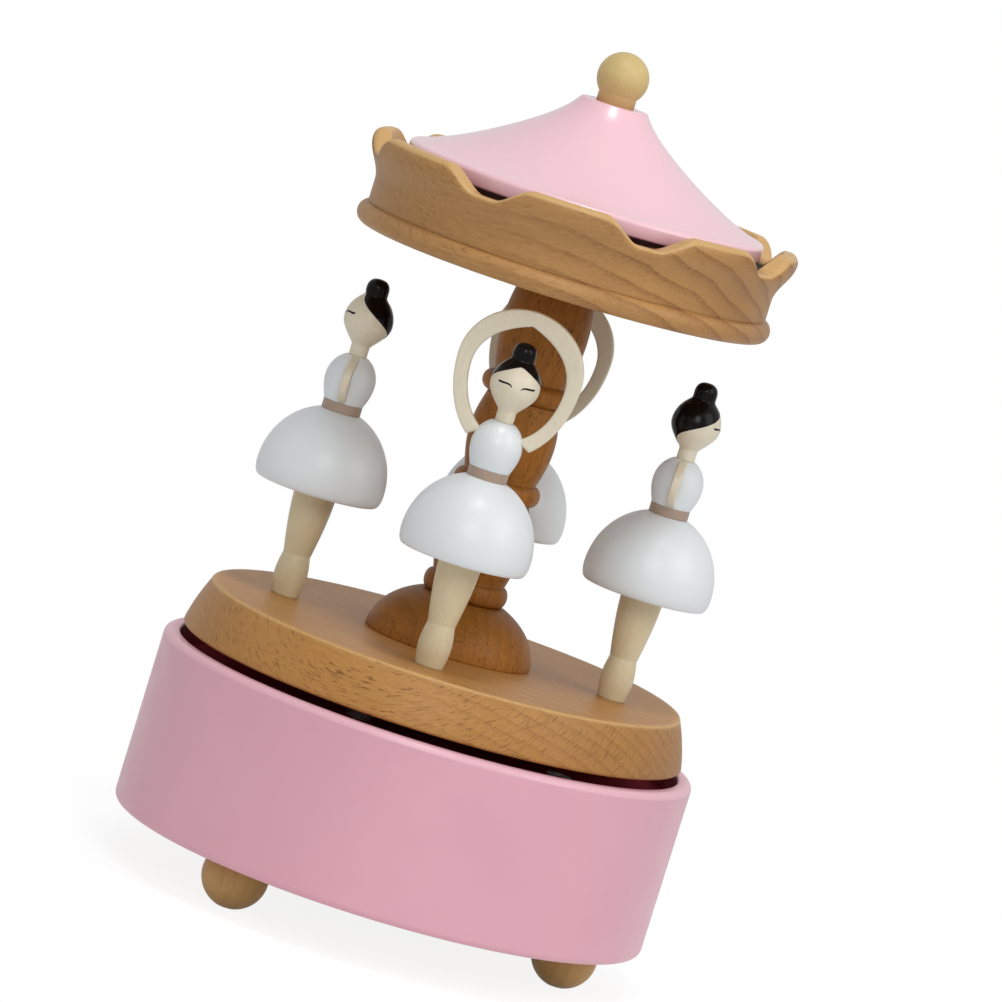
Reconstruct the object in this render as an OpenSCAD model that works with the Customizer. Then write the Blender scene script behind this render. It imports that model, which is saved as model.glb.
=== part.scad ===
// Carousel music box. A turned drum holds a hand-wound movement. Its shaft comes up through the drum
// and turns the deck with its column, crown, roof and four dancers. The deck is turned by hand to wind it.
// +Z is up, the floor is z = 0, and the shaft's axis is x = y = 0.

/* [Base drum] */
// Outer diameter of the drum
base_d = 115; // [112:1:140]
// Thickness of the rim around the recess
rim_w = 3.3; // [2.5:0.1:5]
// Depth of the recess under the deck
recess_depth = 5; // [4.5:0.5:9]
// Thickness of the web that carries the movement
web_t = 6; // [5:0.5:9]
// Gap between the movement and the pocket bored for it
pocket_clear = 1.1; // [0.6:0.1:2]
// Rounding of the drum's outer edges
base_edge = 1.5; // [0.5:0.1:2.2]

/* [Base plate] */
// Thickness of the plate that closes the pocket
base_plate_t = 6; // [5.5:0.5:9]
// Width of the ledge that the plate seats on
ledge_w = 6; // [5:0.5:6.5]
// Gap between the plate and its rebate
plate_clear = 0.2; // [0.1:0.05:0.4]
// Length of the plate's screws
plate_screw_l = 13; // [11:1:16]

/* [Feet] */
// Diameter of the ball feet
foot_d = 14; // [12:0.5:18]
// Height of the drum above the floor
foot_h = 10.3; // [8.5:0.1:11]
// Height cut off each ball where it rests
foot_flat = 0.3; // [0.1:0.1:0.8]
// Diameter of the circle that the feet stand on
foot_ring_d = 86; // [76:1:88]
// Direction of the first foot, in degrees from +X
foot_turn = 114; // [90:1:150]
// Diameter of the feet's pegs
foot_peg_d = 5; // [4:0.5:6]
// Length of the feet's pegs
foot_peg_l = 4.5; // [3:0.5:5]

/* [Deck] */
// Gap between the drum's rim and the deck
deck_gap = 1.7; // [1:0.1:3]
// Thickness of the deck
deck_t = 10.8; // [9:0.1:14]
// How much the deck's edge slopes in from bottom to top
deck_slope = 3.1; // [1:0.1:5]
// How much the sloping edge bulges
deck_bulge = 0.3; // [0.1:0.1:0.8]
// Rounding of the deck's edges
deck_edge = 0.7; // [0.3:0.1:1]

/* [Column] */
// Diameter of the half-ball foot of the column
dome_d = 35.8; // [30:0.1:42]
// Height of the half ball, if it ran up to its pole
dome_h = 12.5; // [11:0.1:18]
// Diameter of the lowest bead
lower_bead_d = 18; // [17.5:0.1:20]
// Diameter of the middle bead
middle_bead_d = 18.6; // [17.5:0.1:21]
// Diameter of the top bead
upper_bead_d = 19.2; // [17.5:0.1:22]
// Height of each bead
bead_h = 4.3; // [3:0.1:6]
// Largest diameter of the swells between the beads
swell_d = 18.4; // [16:0.1:20]
// Diameter of the necks beside the beads
neck_d = 15.4; // [14:0.1:16]
// Height of the lowest swell
lower_swell_h = 17.9; // [12:0.1:24]
// Height of the middle swell
middle_swell_h = 17; // [12:0.1:24]
// Room between the dancers' raised arms and the crown
headroom = 4.3; // [2:0.1:12]
// Diameter of the column's tenons
tenon_d = 10; // [8:0.5:12]
// Length of the column's tenons
tenon_l = 7; // [5:0.5:8]

/* [Crown] */
// Diameter over the tips of the crown
crown_d = 92; // [86:0.5:100]
// Height of the crown
crown_h = 19.5; // [19:0.1:24]
// Thickness of the crown's floor
crown_floor_t = 13.5; // [11:0.1:14]
// Thickness of the crown's wall at the rim
crown_wall = 3.4; // [2.5:0.1:4.5]
// How much narrower the crown's inside is at its floor than at the rim, on the radius
crown_taper = 2.6; // [1:0.1:4]
// Diameter of the bead around the bottom of the crown
crown_bead_d = 89.4; // [86:0.1:92]
// Height of that bead
crown_bead_h = 4.5; // [3:0.1:6]
// How much wider the tips are than the waist, on the diameter
crown_flare = 6; // [3:0.1:7]
// Height up to which the crown's side stands upright
crown_upright_h = 9; // [7:0.1:11]
// Rounding of the tips' outer edge
crown_lip_r = 1.9; // [0.8:0.1:2.4]
// Rounding of the rim's inner edge
crown_inner_edge = 0.9; // [0.4:0.1:1.2]
// Number of scallops
scallops = 8; // [6:1:10]
// Depth of the scallops
scallop_depth = 4.4; // [2:0.1:5]
// Share of each scallop that is a flat tip
tip_share = 0.42; // [0.3:0.01:0.6]
// Share of each scallop that is a flat valley
valley_share = 0.1; // [0.04:0.01:0.15]

/* [Roof] */
// Gap between the roof's edge and the crown's inside
roof_clear = 1.7; // [0.8:0.1:4]
// Gap between the crown's floor and the roof's edge
roof_lift = 2.4; // [1.5:0.1:4]
// Height of the roof's straight edge
roof_band_h = 3.5; // [2:0.1:6]
// Height of the roof's hollow slope
roof_rise = 18.9; // [14:0.1:26]
// Diameter of the flat top of the roof
roof_top_d = 14.2; // [12:0.1:20]
// How far the roof's edge overhangs the spigot it stands on
roof_overhang = 5.3; // [2:0.1:12]

/* [Finial] */
// Diameter of the ball
finial_d = 10.9; // [9:0.1:14]
// Diameter of its neck
finial_neck_d = 8.1; // [6:0.1:8.6]
// Height of the ball and neck
finial_h = 11.1; // [9:0.1:13]
// Diameter of the finial's peg
finial_peg_d = 5; // [3:0.5:6]
// Length of the finial's peg
finial_peg_l = 6; // [4:0.5:8]

/* [Dancers] */
// Distance of the dancers' axes from the deck's upper edge
dancer_inset = 15.3; // [14:0.1:16.5]
// Height of a dancer's legs below the skirt
leg_h = 23; // [20:0.1:28]
// Diameter at the ankle
ankle_d = 5.8; // [5:0.1:6.4]
// Diameter of the foot
shoe_d = 7; // [6:0.1:8]
// Height of the foot
shoe_h = 8.8; // [7:0.1:10]
// Diameter of the legs at the skirt
thigh_d = 9; // [7:0.1:11]
// Diameter of the skirt
skirt_d = 27.6; // [22:0.1:30]
// Height of the skirt
skirt_h = 17.2; // [13:0.1:20]
// Height of the skirt's rounded lower rim
skirt_rim = 3; // [1.5:0.1:4]
// Diameter of the belt
belt_d = 8.4; // [7.5:0.1:9.2]
// Height of the belt
belt_h = 2.1; // [1.5:0.1:3]
// Diameter of the bodice
bodice_d = 10.7; // [10:0.1:12]
// Height of the bodice
bodice_h = 10; // [9.5:0.1:11]
// Diameter of the neck
throat_d = 3.9; // [3.4:0.1:4.6]
// Height of the neck
throat_h = 2.4; // [2:0.1:3.5]
// Diameter of the head
head_d = 10.3; // [9:0.1:10.6]
// Height of the head, if it ran up to its pole
head_h = 11; // [10.4:0.1:11.5]
// Height of the head's widest place above the chin
head_wide_h = 5.2; // [4.6:0.1:5.8]
// Diameter of the hair bun
bun_d = 4.7; // [4:0.1:5.6]
// Height of the hair bun above the head
bun_h = 3.4; // [2.8:0.1:3.6]
// Height of the bun's domed top
bun_dome_h = 2.4; // [1.6:0.1:2.6]
// Diameter of the pegs in a dancer
dancer_peg_d = 3; // [2:0.1:3.4]

/* [Arms] */
// Thickness of the flat arms
arm_t = 2.3; // [1.8:0.1:3]
// Half width of a pair of raised arms
raised_half_w = 13.1; // [12:0.1:13.6]
// Height of the widest place of the raised arms above the bodice's waist
raised_wide_z = 21.2; // [20:0.1:23]
// Rise of the raised arms above their widest place
raised_top = 12.3; // [11.5:0.1:14]
// Drop of their outer edge below it, if it ran down to its pole
raised_drop = 18.2; // [17:0.1:19]
// Drop of their inner edge below it, if it ran down to its pole
raised_inner_drop = 14.4; // [13.8:0.1:15]
// Width of the raised arms
raised_w = 3.1; // [2.6:0.1:3.4]
// Half width of a pair of lowered arms
lowered_half_w = 9.2; // [8:0.1:11]
// Width of the lowered arms
lowered_w = 2.6; // [2.2:0.1:3]
// Width of the lowered arms where they meet the body
lowered_end_w = 1.4; // [1:0.1:1.8]

/* [Movement] */
// Thickness of the movement's bedplate
bedplate_t = 2.4; // [2:0.1:3]
// Module of the great wheel and the cylinder's pinion
drive_module = 0.8; // [0.7:0.05:0.85]
// Teeth of the great wheel
drive_teeth = 30; // [26:1:32]
// Teeth of the cylinder's pinion
pinion_teeth = 12; // [10:1:13]
// Width of the great wheel's teeth
drive_face_w = 2.2; // [1.8:0.1:2.4]
// Module of the fine gears
fine_module = 0.45; // [0.4:0.01:0.5]
// Teeth of the cylinder's end gear
end_gear_teeth = 30; // [28:1:33]
// Teeth of the transfer pinion
transfer_teeth = 10; // [9:1:12]
// Teeth of the worm wheel
worm_wheel_teeth = 16; // [14:1:18]
// Diameter of the cylinder
cylinder_d = 12; // [10:0.5:12.5]
// Length of the cylinder
cylinder_l = 17; // [14:0.5:19]
// Number of tuned teeth
notes = 18; // [12:1:22]
// Height of the cylinder's pins
pin_h = 0.5; // [0.3:0.1:0.6]
// Thickness of the comb
comb_t = 1.2; // [1:0.1:1.6]
// Length of the comb's teeth
comb_tooth_l = 9.6; // [8:0.1:10]
// Gap between the spring housing and the great wheel's teeth
housing_gap = 0.5; // [0.3:0.1:1]
// Wall of the spring housing
housing_wall = 0.8; // [0.6:0.1:1]
// Diameter of the drive shaft
shaft_d = 4; // [3.6:0.1:4.4]
// Diameter of the spring's core on the shaft
core_d = 5.6; // [5:0.1:6]
// Turns of the mainspring
spring_turns = 8; // [5:1:9]
// Thickness of the mainspring
spring_t = 0.3; // [0.2:0.05:0.3]
// Radius of the governor's fan
fan_r = 4.2; // [3.5:0.1:4.3]

/* [Fits] */
// Radial clearance of pegs, screws and shafts in their holes
fit = 0.05; // [0.02:0.01:0.08]

/* [Hidden] */
PLACES = ["front", "right", "rear", "left"];
DANCER_PARTS = ["legs", "skirt", "belt", "bodice", "head", "arms"];

// Gears: cylinder arbor and transfer arbor lie along +X, the governor's spindle stands upright
pressure_angle = 22;
addendum = 0.8;
dedendum = 1;
backlash = 0.26;
fine_backlash = 0.12;
drive_r = drive_module * drive_teeth / 2;
drive_in_r = drive_r - drive_face_w / 2;
drive_out_r = drive_r + drive_face_w / 2;
pinion_r = drive_module * pinion_teeth / 2;
end_gear_tip_r = fine_module * (end_gear_teeth / 2 + addendum);
transfer_distance = fine_module * (end_gear_teeth + transfer_teeth) / 2;
worm_wheel_r = fine_module * worm_wheel_teeth / 2;
worm_wheel_tip_r = worm_wheel_r + addendum * fine_module;
cylinder_r = cylinder_d / 2;
cylinder_wall = 0.8;
arbor_d = 1.6;
fine_arbor_d = 1.2;
spindle_d = 1;
wheel_w = 1.2;
pinion_w = 1.6;

// Depths of the movement below its bedplate
running_gap = 0.6;
wheel_disc_t = 1.3;
wheel_depth = running_gap + wheel_disc_t + dedendum * drive_module + pinion_r;
arbor_drop = max(wheel_depth, cylinder_r + pin_h + running_gap, end_gear_tip_r + running_gap / 2);
transfer_drop = 2.6;
pivot_arm_gap = 0.3;
pivot_arm_t = 1.2;
fan_h = 1.7;
fan_gap = 0.47;
fan_stack = pivot_arm_gap + pivot_arm_t + fan_gap + fan_h + fan_gap;
movement_room = bedplate_t + arbor_drop + transfer_drop + worm_wheel_tip_r + fan_stack;

// Places of the movement's pieces along the arbors
cheek_t = 1.2;
cheek_half_w = 2.6;
side_gap = 0.5;
left_cheek_x = drive_out_r + side_gap;
cylinder_x = left_cheek_x + cheek_t + side_gap;
cylinder_end_x = cylinder_x + cylinder_l;
right_cheek_x = cylinder_end_x + wheel_w + side_gap;
arbor_end_x = right_cheek_x + cheek_t;
transfer_y = sqrt(pow(transfer_distance, 2) - pow(transfer_drop, 2));
transfer_turn = -asin(transfer_drop / transfer_distance);
transfer_pinion_x = cylinder_end_x - (pinion_w - wheel_w) / 2;
worm_r = 1.3;
worm_root_r = 0.75;
worm_lead = PI * fine_module;
worm_turns = 4;
worm_l = worm_turns * worm_lead;
worm_wheel_x = right_cheek_x + 1;
worm_x = worm_wheel_x + pinion_w / 2;
worm_y = transfer_y + worm_wheel_r + worm_r;

// Governor bracket
upright_t = 1.2;
upright_end_r = 1.8;
left_upright_x = cylinder_end_x - 2;
right_upright_x = worm_wheel_x + pinion_w + 0.8;
bracket_t = 1.2;
bracket_y = cylinder_r + 1.2;
bracket_x1 = right_upright_x + upright_t;
post_y = worm_y + fan_r + 0.7;
post_t = 1.4;
post_half_w = 1.4;
fan_t = 0.5;
fan_hub_r = 1.1;
bracket_screw_x = left_upright_x + 2;
bracket_screw_ys = [worm_y - 0.6, worm_y + 3.8];

// Comb and its pedestal
comb_tip_y = cylinder_r + pin_h + 0.4;
comb_root_y = comb_tip_y + comb_tooth_l;
comb_block_l = 6.9;
comb_end_y = comb_root_y + comb_block_l;
comb_pitch = cylinder_l / notes;
comb_slot = 0.32;
pedestal_y = comb_root_y + 1;
comb_screw_inset = 4;

// Bedplate outline, and the pocket that clears it
pillar_d = 4.4;
ear_r = drive_out_r + pillar_d;
bed_corner = 7;
bed_ear_edge = 3;
bed_arbor_edge = 4.2;
bed_worm_edge = 7;
bed_x0 = -ear_r - bed_ear_edge;
bed_x1 = arbor_end_x + bed_arbor_edge;
bed_y0 = -comb_end_y;
bed_y1 = worm_y + bed_worm_edge;
movement_screw_x = -12;
movement_screw_y = 16.5;
movement_screw_spots = [
    [movement_screw_x, movement_screw_y],
    [movement_screw_x, -movement_screw_y],
    [arbor_end_x - 4, 4 - comb_end_y]
];
movement_reach = max(
    norm([bed_x1 - bed_corner, comb_end_y - bed_corner]) + bed_corner,
    norm([bed_x1 - bed_corner, bed_y1 - bed_corner]) + bed_corner,
    norm([bracket_x1, post_y + post_t])
);

// Levels of the base
base_r = base_d / 2;
base_z = foot_h;
recess_r = base_r - rim_w;
pocket_r = movement_reach + pocket_clear;
plate_top = base_z + base_plate_t;
web_z = plate_top + movement_room;
web_top = web_z + web_t;
rim_z = web_top + recess_depth;
inner_edge = 0.6;
plate_seat_r = pocket_r + ledge_w;
plate_r = plate_seat_r - plate_clear;
plate_screw_r = (pocket_r + plate_r) / 2;
wood_screw_d = 2.4;
wood_head_d = 4.2;
wood_head_h = 1.5;
foot_count = 3;

// Levels of the movement, which hangs from the web
bed_z = web_z - bedplate_t;
arbor_z = bed_z - arbor_drop;
mesh_z = arbor_z + pinion_r;
tooth_root_z = mesh_z + dedendum * drive_module;
wheel_top = tooth_root_z + wheel_disc_t;
transfer_z = arbor_z - transfer_drop;
bracket_z = bed_z - bracket_t;
pivot_arm_z = plate_top + pivot_arm_gap;
fan_z = pivot_arm_z + pivot_arm_t + fan_gap;
bush_d = 8;
bush_h = 4;
web_hole_d = bush_d + 2;

// Spring housing
housing_r = drive_in_r - housing_gap;
housing_top = tooth_root_z - 0.8;
housing_floor_t = 1.2;
housing_z = plate_top + 1.5;
ear_t = 1.2;
ear_half_w = 2.6;
ear_z = housing_z + 6;
ear_angles = [100, 180, 260];
pivot_d = 2.8;
core_z = housing_z + housing_floor_t + 0.2;
core_top = housing_top - 1;
spring_gap = 0.4;

// Small machine screws of the movement
machine_d = 1.8;
machine_head_d = 3.4;
machine_head_h = 1.2;
machine_l = 5;
movement_screw_d = 2.9;
movement_head_d = 5.4;
movement_head_h = 1.8;

// Dancers: levels above the deck
dancer_peg_l = 6;
head_peg_l = 4;
skirt_z = leg_h;
belt_z = skirt_z + skirt_h;
bodice_z = belt_z + belt_h;
throat_z = bodice_z + bodice_h;
chin_z = throat_z + throat_h;
head_wide_z = chin_z + head_wide_h;
crown_of_head = chin_z + head_h;
arms_wide_z = bodice_z + raised_wide_z;
arms_top = arms_wide_z + raised_top;
raised_inner_sink = 1;
outer_end_angle = 59;
inner_end_angle = 68;
point_angle = 72;
shoulder_drop = 1.2;
wrist_lift = 0.3;
lowered_root = 2.6;

// Levels of the deck, column, crown and roof
deck_z = rim_z + deck_gap;
deck_top = deck_z + deck_t;
deck_r = recess_r;
deck_top_r = deck_r - deck_slope;
dancer_ring_r = deck_top_r - dancer_inset;
dome_top = dome_h * sqrt(1 - pow(lower_bead_d / dome_d, 2));
column_z = deck_top + dome_top;
middle_bead_z = column_z + bead_h + lower_swell_h;
upper_bead_z = middle_bead_z + bead_h + middle_swell_h;
crown_z = deck_top + arms_top + headroom;
upper_swell_h = crown_z - upper_bead_z - bead_h;
crown_top = crown_z + crown_h;
crown_floor = crown_z + crown_floor_t;
crown_r = crown_d / 2;
crown_inner_r = crown_r - crown_wall;
crown_floor_r = crown_inner_r - crown_taper;
crown_waist_r = crown_r - crown_flare / 2;
crown_waist_z = crown_z + crown_upright_h;
// How far each valley is sawn off its even place, in degrees; the row starts at +X and repeats
sawn_off = [0, 1.5, 0, -1, -8, 0, 1.5, 0];
roof_r = crown_floor_r - roof_clear;
spigot_r = roof_r - roof_overhang;
roof_z = crown_floor + roof_lift;
roof_slope_z = roof_z + roof_band_h;
roof_top = roof_slope_z + roof_rise;

// Room past the tip of a screw, and round a screw or head that passes freely
hole_past = 0.5;
loose = 0.4;

// Screws along the axis
column_head_d = 8;
column_head_h = 3.5;
column_screw_d = 3.8;
column_screw_l = 34;
crown_head_d = 7;
crown_head_h = 2.2;
crown_screw_d = 3;
crown_screw_l = 26;
roof_cavity_h = crown_head_h + 1.8;
roof_cavity_d = crown_head_d + 4;

// Hub between shaft and deck
hub_flange_d = 26;
hub_flange_t = 2;
hub_boss_d = 9;
hub_lift = 0.7;
hub_z = web_top + hub_lift;
hub_flange_z = deck_z - hub_flange_t;
hub_screw_ring_r = 9.5;
hub_screw_d = 2;
hub_head_d = 3.6;
hub_head_h = 1.2;
hub_screw_l = 6;
hub_screw_count = 3;
stud_d = 3;

// A stretch of a circle as profile points
function arc(cx, cz, r, a0, a1, steps = 6) =
    [for (k = [0:steps]) let (a = a0 + (a1 - a0) * k / steps) [cx + r * cos(a), cz + r * sin(a)]];

// A half-round bead between two levels
function bead(z0, h, r_in, r_out, steps = 12) =
    [for (k = [0:steps]) let (a = 180 * k / steps)
        [r_in + (r_out - r_in) * sin(a), z0 + h * (1 - cos(a)) / 2]];

// A gentle swell between two necks
function swell(z0, h, r_in, r_out, steps = 14) =
    [for (k = [0:steps]) [r_in + (r_out - r_in) * sin(180 * k / steps), z0 + h * k / steps]];

// Half of an ellipse's outline from one angle to another
function oval(cx, cy, rx, ry, a0, a1, steps = 12) =
    [for (k = [0:steps]) let (a = a0 + (a1 - a0) * k / steps) [cx + rx * cos(a), cy + ry * sin(a)]];

module revolve(points) {
    rotate_extrude($fn = 96) polygon(points);
}

// A round rod along +Z between two levels
module rod(d, z0, z1) {
    translate([0, 0, z0]) cylinder(h = z1 - z0, d = d, $fn = 48);
}

// A screw that points up, its head's underside at z = 0
module screw(head_d, head_h, shank_d, length) {
    difference() {
        union() {
            rod(head_d, -head_h, 0);
            rod(shank_d, -head_h, length);
        }
        translate([-head_d / 2, -head_h / 8, -head_h - 0.01])
            cube([head_d, head_h / 4, head_h / 2]);
    }
}

module at_feet() {
    for (i = [0:foot_count - 1])
        rotate(foot_turn + i * 360 / foot_count) translate([foot_ring_d / 2, 0, 0]) children();
}

module at_plate_screws() {
    for (i = [0:foot_count - 1])
        rotate(foot_turn + (i + 0.5) * 360 / foot_count) translate([plate_screw_r, 0, 0]) children();
}

module at_movement_screws() {
    for (spot = movement_screw_spots)
        translate([spot[0], spot[1], 0]) children();
}

// Base ---------------------------------------------------------------------------------------------

module base_drum() {
    color("pink") difference() {
        revolve(concat(
            [[plate_seat_r, base_z]],
            arc(base_r - base_edge, base_z + base_edge, base_edge, -90, 0),
            arc(base_r - base_edge, rim_z - base_edge, base_edge, 0, 90),
            arc(recess_r + inner_edge, rim_z - inner_edge, inner_edge, 90, 180),
            [[recess_r, web_top], [web_hole_d / 2, web_top], [web_hole_d / 2, web_z],
             [pocket_r, web_z], [pocket_r, plate_top], [plate_seat_r, plate_top]]
        ));
        at_plate_screws()
            rod(wood_screw_d + 2 * fit, plate_top - 1, base_z + wood_head_h + plate_screw_l + hole_past);
        at_movement_screws() rod(movement_screw_d + loose, web_z - 1, web_top + 1);
    }
}

module base_plate() {
    color("burlywood") difference() {
        rod(2 * plate_r, base_z, plate_top);
        at_feet() rod(foot_peg_d + 2 * fit, base_z - 1, base_z + foot_peg_l);
        at_plate_screws() {
            rod(wood_screw_d + 2 * fit, base_z - 1, plate_top + 1);
            rod(wood_head_d + 2 * fit, base_z - 1, base_z + wood_head_h);
        }
    }
}

module base_plate_screws() {
    color("silver") at_plate_screws()
        translate([0, 0, base_z + wood_head_h])
            screw(wood_head_d, wood_head_h, wood_screw_d, plate_screw_l);
}

module foot(i) {
    ball_r = foot_d / 2;
    ball_z = ball_r - foot_flat;
    color("tan") rotate(foot_turn + i * 360 / foot_count) translate([foot_ring_d / 2, 0, 0])
        revolve(concat(
            [[0, 0]],
            arc(0, ball_z, ball_r, asin(-ball_z / ball_r), asin((base_z - ball_z) / ball_r), 14),
            [[foot_peg_d / 2, base_z], [foot_peg_d / 2, base_z + foot_peg_l], [0, base_z + foot_peg_l]]
        ));
}

// Gears --------------------------------------------------------------------------------------------

// Angle by which an involute has rolled off at a radius, in degrees
function roll(base_circle, r) =
    let (a = acos(min(1, base_circle / r))) tan(a) * 180 / PI - a;

// Outline of an involute gear with a tooth on +X
module gear_outline(teeth, pitch, play) {
    pitch_r = teeth * pitch / 2;
    base_circle = pitch_r * cos(pressure_angle);
    root_r = pitch_r - dedendum * pitch;
    tip_r = pitch_r + addendum * pitch;
    half_tooth = 90 / teeth - play / 2 / pitch_r * 180 / PI;
    start_r = max(root_r + 0.01, base_circle);
    steps = 4;
    flank = [for (k = [0:steps]) let (r = start_r + (tip_r - start_r) * k / steps)
        [r, half_tooth + roll(base_circle, pitch_r) - roll(base_circle, r)]];
    side = concat([[root_r, flank[0][1]]], flank);
    polygon([for (i = [0:teeth - 1]) for (k = [0:2 * steps + 3])
        let (p = k < steps + 2 ? side[k] : side[2 * steps + 3 - k],
             a = 360 * i / teeth + (k < steps + 2 ? -p[1] : p[1]))
        p[0] * [cos(a), sin(a)]]);
}

// Turns a gear drawn in XY so that it runs along +X, its X axis pointing to +Y
module along_x(x, y, z) {
    translate([x, y, z]) rotate([90, 0, 90]) children();
}

// Movement -----------------------------------------------------------------------------------------

module rounded_plate(x0, x1, y0, y1, r, t) {
    translate([x0 + r, y0, 0]) cube([x1 - x0 - 2 * r, y1 - y0, t]);
    translate([x0, y0 + r, 0]) cube([x1 - x0, y1 - y0 - 2 * r, t]);
    for (x = [x0 + r, x1 - r]) for (y = [y0 + r, y1 - r])
        translate([x, y, 0]) cylinder(h = t, r = r, $fn = 64);
}

// An upright that hangs from the bedplate and ends round about a bearing
module cheek(x, y, z, half_w, t) {
    translate([x, y - half_w, z]) cube([t, 2 * half_w, bed_z - z + 0.1]);
    along_x(x, y, z) cylinder(h = t, r = half_w, $fn = 48);
}

module at_housing_screws() {
    for (a = ear_angles)
        rotate(a) translate([ear_r, 0, 0]) children();
}

module at_comb_screws() {
    for (x = [cylinder_x + comb_screw_inset, cylinder_end_x - comb_screw_inset])
        translate([x, -(comb_root_y + comb_end_y) / 2 - 0.4, 0]) children();
}

module at_bracket_screws() {
    for (y = bracket_screw_ys)
        translate([bracket_screw_x, y, 0]) children();
}

module bedplate() {
    comb_top = arbor_z + comb_t / 2;
    color("gray") difference() {
        union() {
            translate([0, 0, bed_z]) rounded_plate(bed_x0, bed_x1, bed_y0, bed_y1, bed_corner, bedplate_t);
            rod(bush_d, web_z - 0.1, web_z + bush_h);
            at_housing_screws() rod(pillar_d, ear_z + ear_t, bed_z + 0.1);
            translate([cylinder_x, -comb_end_y, comb_top])
                cube([cylinder_l, comb_end_y - pedestal_y, bed_z - comb_top + 0.1]);
            cheek(left_cheek_x, 0, arbor_z, cheek_half_w, cheek_t);
            cheek(right_cheek_x, 0, arbor_z, cheek_half_w, cheek_t);
        }
        rod(shaft_d + 2 * fit, bed_z - 1, web_z + bush_h + 1);
        at_housing_screws() rod(machine_d + 2 * fit, ear_z, ear_z + ear_t + machine_l);
        at_comb_screws() rod(machine_d + 2 * fit, comb_top - 1, comb_top + machine_l);
        at_bracket_screws() rod(machine_d + 2 * fit, bed_z - 1, web_z + 1);
        at_movement_screws() rod(movement_screw_d + 2 * fit, bed_z - 1, web_z + 1);
        along_x(left_cheek_x - 1, 0, arbor_z)
            cylinder(h = arbor_end_x - left_cheek_x + 2, d = arbor_d + 2 * fit, $fn = 32);
    }
}

module movement_screws() {
    color("silver") at_movement_screws()
        translate([0, 0, web_top]) mirror([0, 0, 1])
            screw(movement_head_d, movement_head_h, movement_screw_d, web_t + bedplate_t - 0.3);
}

module spring_housing() {
    color("lightgray") difference() {
        union() {
            rod(2 * housing_r, housing_z, housing_top);
            for (a = ear_angles) rotate(a)
                translate([0, -ear_half_w, ear_z]) cube([ear_r, 2 * ear_half_w, ear_t]);
            at_housing_screws() rod(2 * ear_half_w, ear_z, ear_z + ear_t);
        }
        rod(2 * (housing_r - housing_wall), housing_z + housing_floor_t, housing_top + 1);
        rod(pivot_d + 2 * fit, housing_z - 1, housing_top);
        at_housing_screws() rod(machine_d + 2 * fit, ear_z - 1, ear_z + ear_t + 1);
    }
}

module housing_screws() {
    color("silver") at_housing_screws()
        translate([0, 0, ear_z]) screw(machine_head_d, machine_head_h, machine_d, ear_t + machine_l - 0.5);
}

// The mainspring: a strip rolled up between the shaft's core and the housing's wall
module mainspring() {
    r0 = core_d / 2 + spring_gap;
    r1 = housing_r - housing_wall - spring_t - 0.05;
    steps = 24 * spring_turns;
    function on_spiral(k, extra) =
        let (a = 360 * spring_turns * k / steps, r = r0 + (r1 - r0) * k / steps + extra) r * [cos(a), sin(a)];
    color("slategray") translate([0, 0, core_z + 0.2]) linear_extrude(core_top - core_z - 0.4)
        polygon(concat([for (k = [0:steps]) on_spiral(k, 0)],
                       [for (k = [steps:-1:0]) on_spiral(k, spring_t)]));
}

module drive_shaft() {
    shaft_r = shaft_d / 2;
    color("silver") revolve([
        [0, housing_z - 0.2], [pivot_d / 2, housing_z - 0.2], [pivot_d / 2, core_z],
        [core_d / 2, core_z], [core_d / 2, core_top], [shaft_r, core_top],
        [shaft_r, hub_z], [stud_d / 2, hub_z], [stud_d / 2, deck_z - 0.4], [0, deck_z - 0.4]
    ]);
}

// The great wheel: a disc with a ring of face teeth under it, one of them on +X
module great_wheel() {
    tip_z = mesh_z - addendum * drive_module;
    half_t = PI * drive_module / 4 - backlash / 2;
    lean = tan(pressure_angle);
    root_half = half_t + (tooth_root_z - mesh_z) * lean;
    tip_half = half_t - (mesh_z - tip_z) * lean;
    color("goldenrod") {
        difference() {
            rod(2 * drive_out_r + 0.4, tooth_root_z, wheel_top);
            rod(shaft_d, tooth_root_z - 1, wheel_top + 1);
        }
        for (i = [0:drive_teeth - 1])
            rotate(360 * i / drive_teeth) along_x(drive_in_r, 0, 0) linear_extrude(drive_face_w)
                polygon([[-root_half, tooth_root_z + 0.1], [-root_half, tooth_root_z], [-tip_half, tip_z],
                         [tip_half, tip_z], [root_half, tooth_root_z], [root_half, tooth_root_z + 0.1]]);
    }
}

module drive_hub() {
    color("silver") difference() {
        union() {
            rod(hub_flange_d, hub_flange_z, deck_z);
            rod(hub_boss_d, hub_z, deck_z);
        }
        rod(stud_d, hub_z - 1, deck_z + 1);
        at_hub_screws() rod(hub_screw_d + 2 * fit, hub_flange_z - 1, deck_z + 1);
    }
}

module at_hub_screws() {
    for (i = [0:hub_screw_count - 1])
        rotate(45 + i * 360 / hub_screw_count) translate([hub_screw_ring_r, 0, 0]) children();
}

module hub_screws() {
    color("silver") at_hub_screws() translate([0, 0, hub_flange_z])
        screw(hub_head_d, hub_head_h, hub_screw_d, hub_flange_t + hub_screw_l);
}

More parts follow.
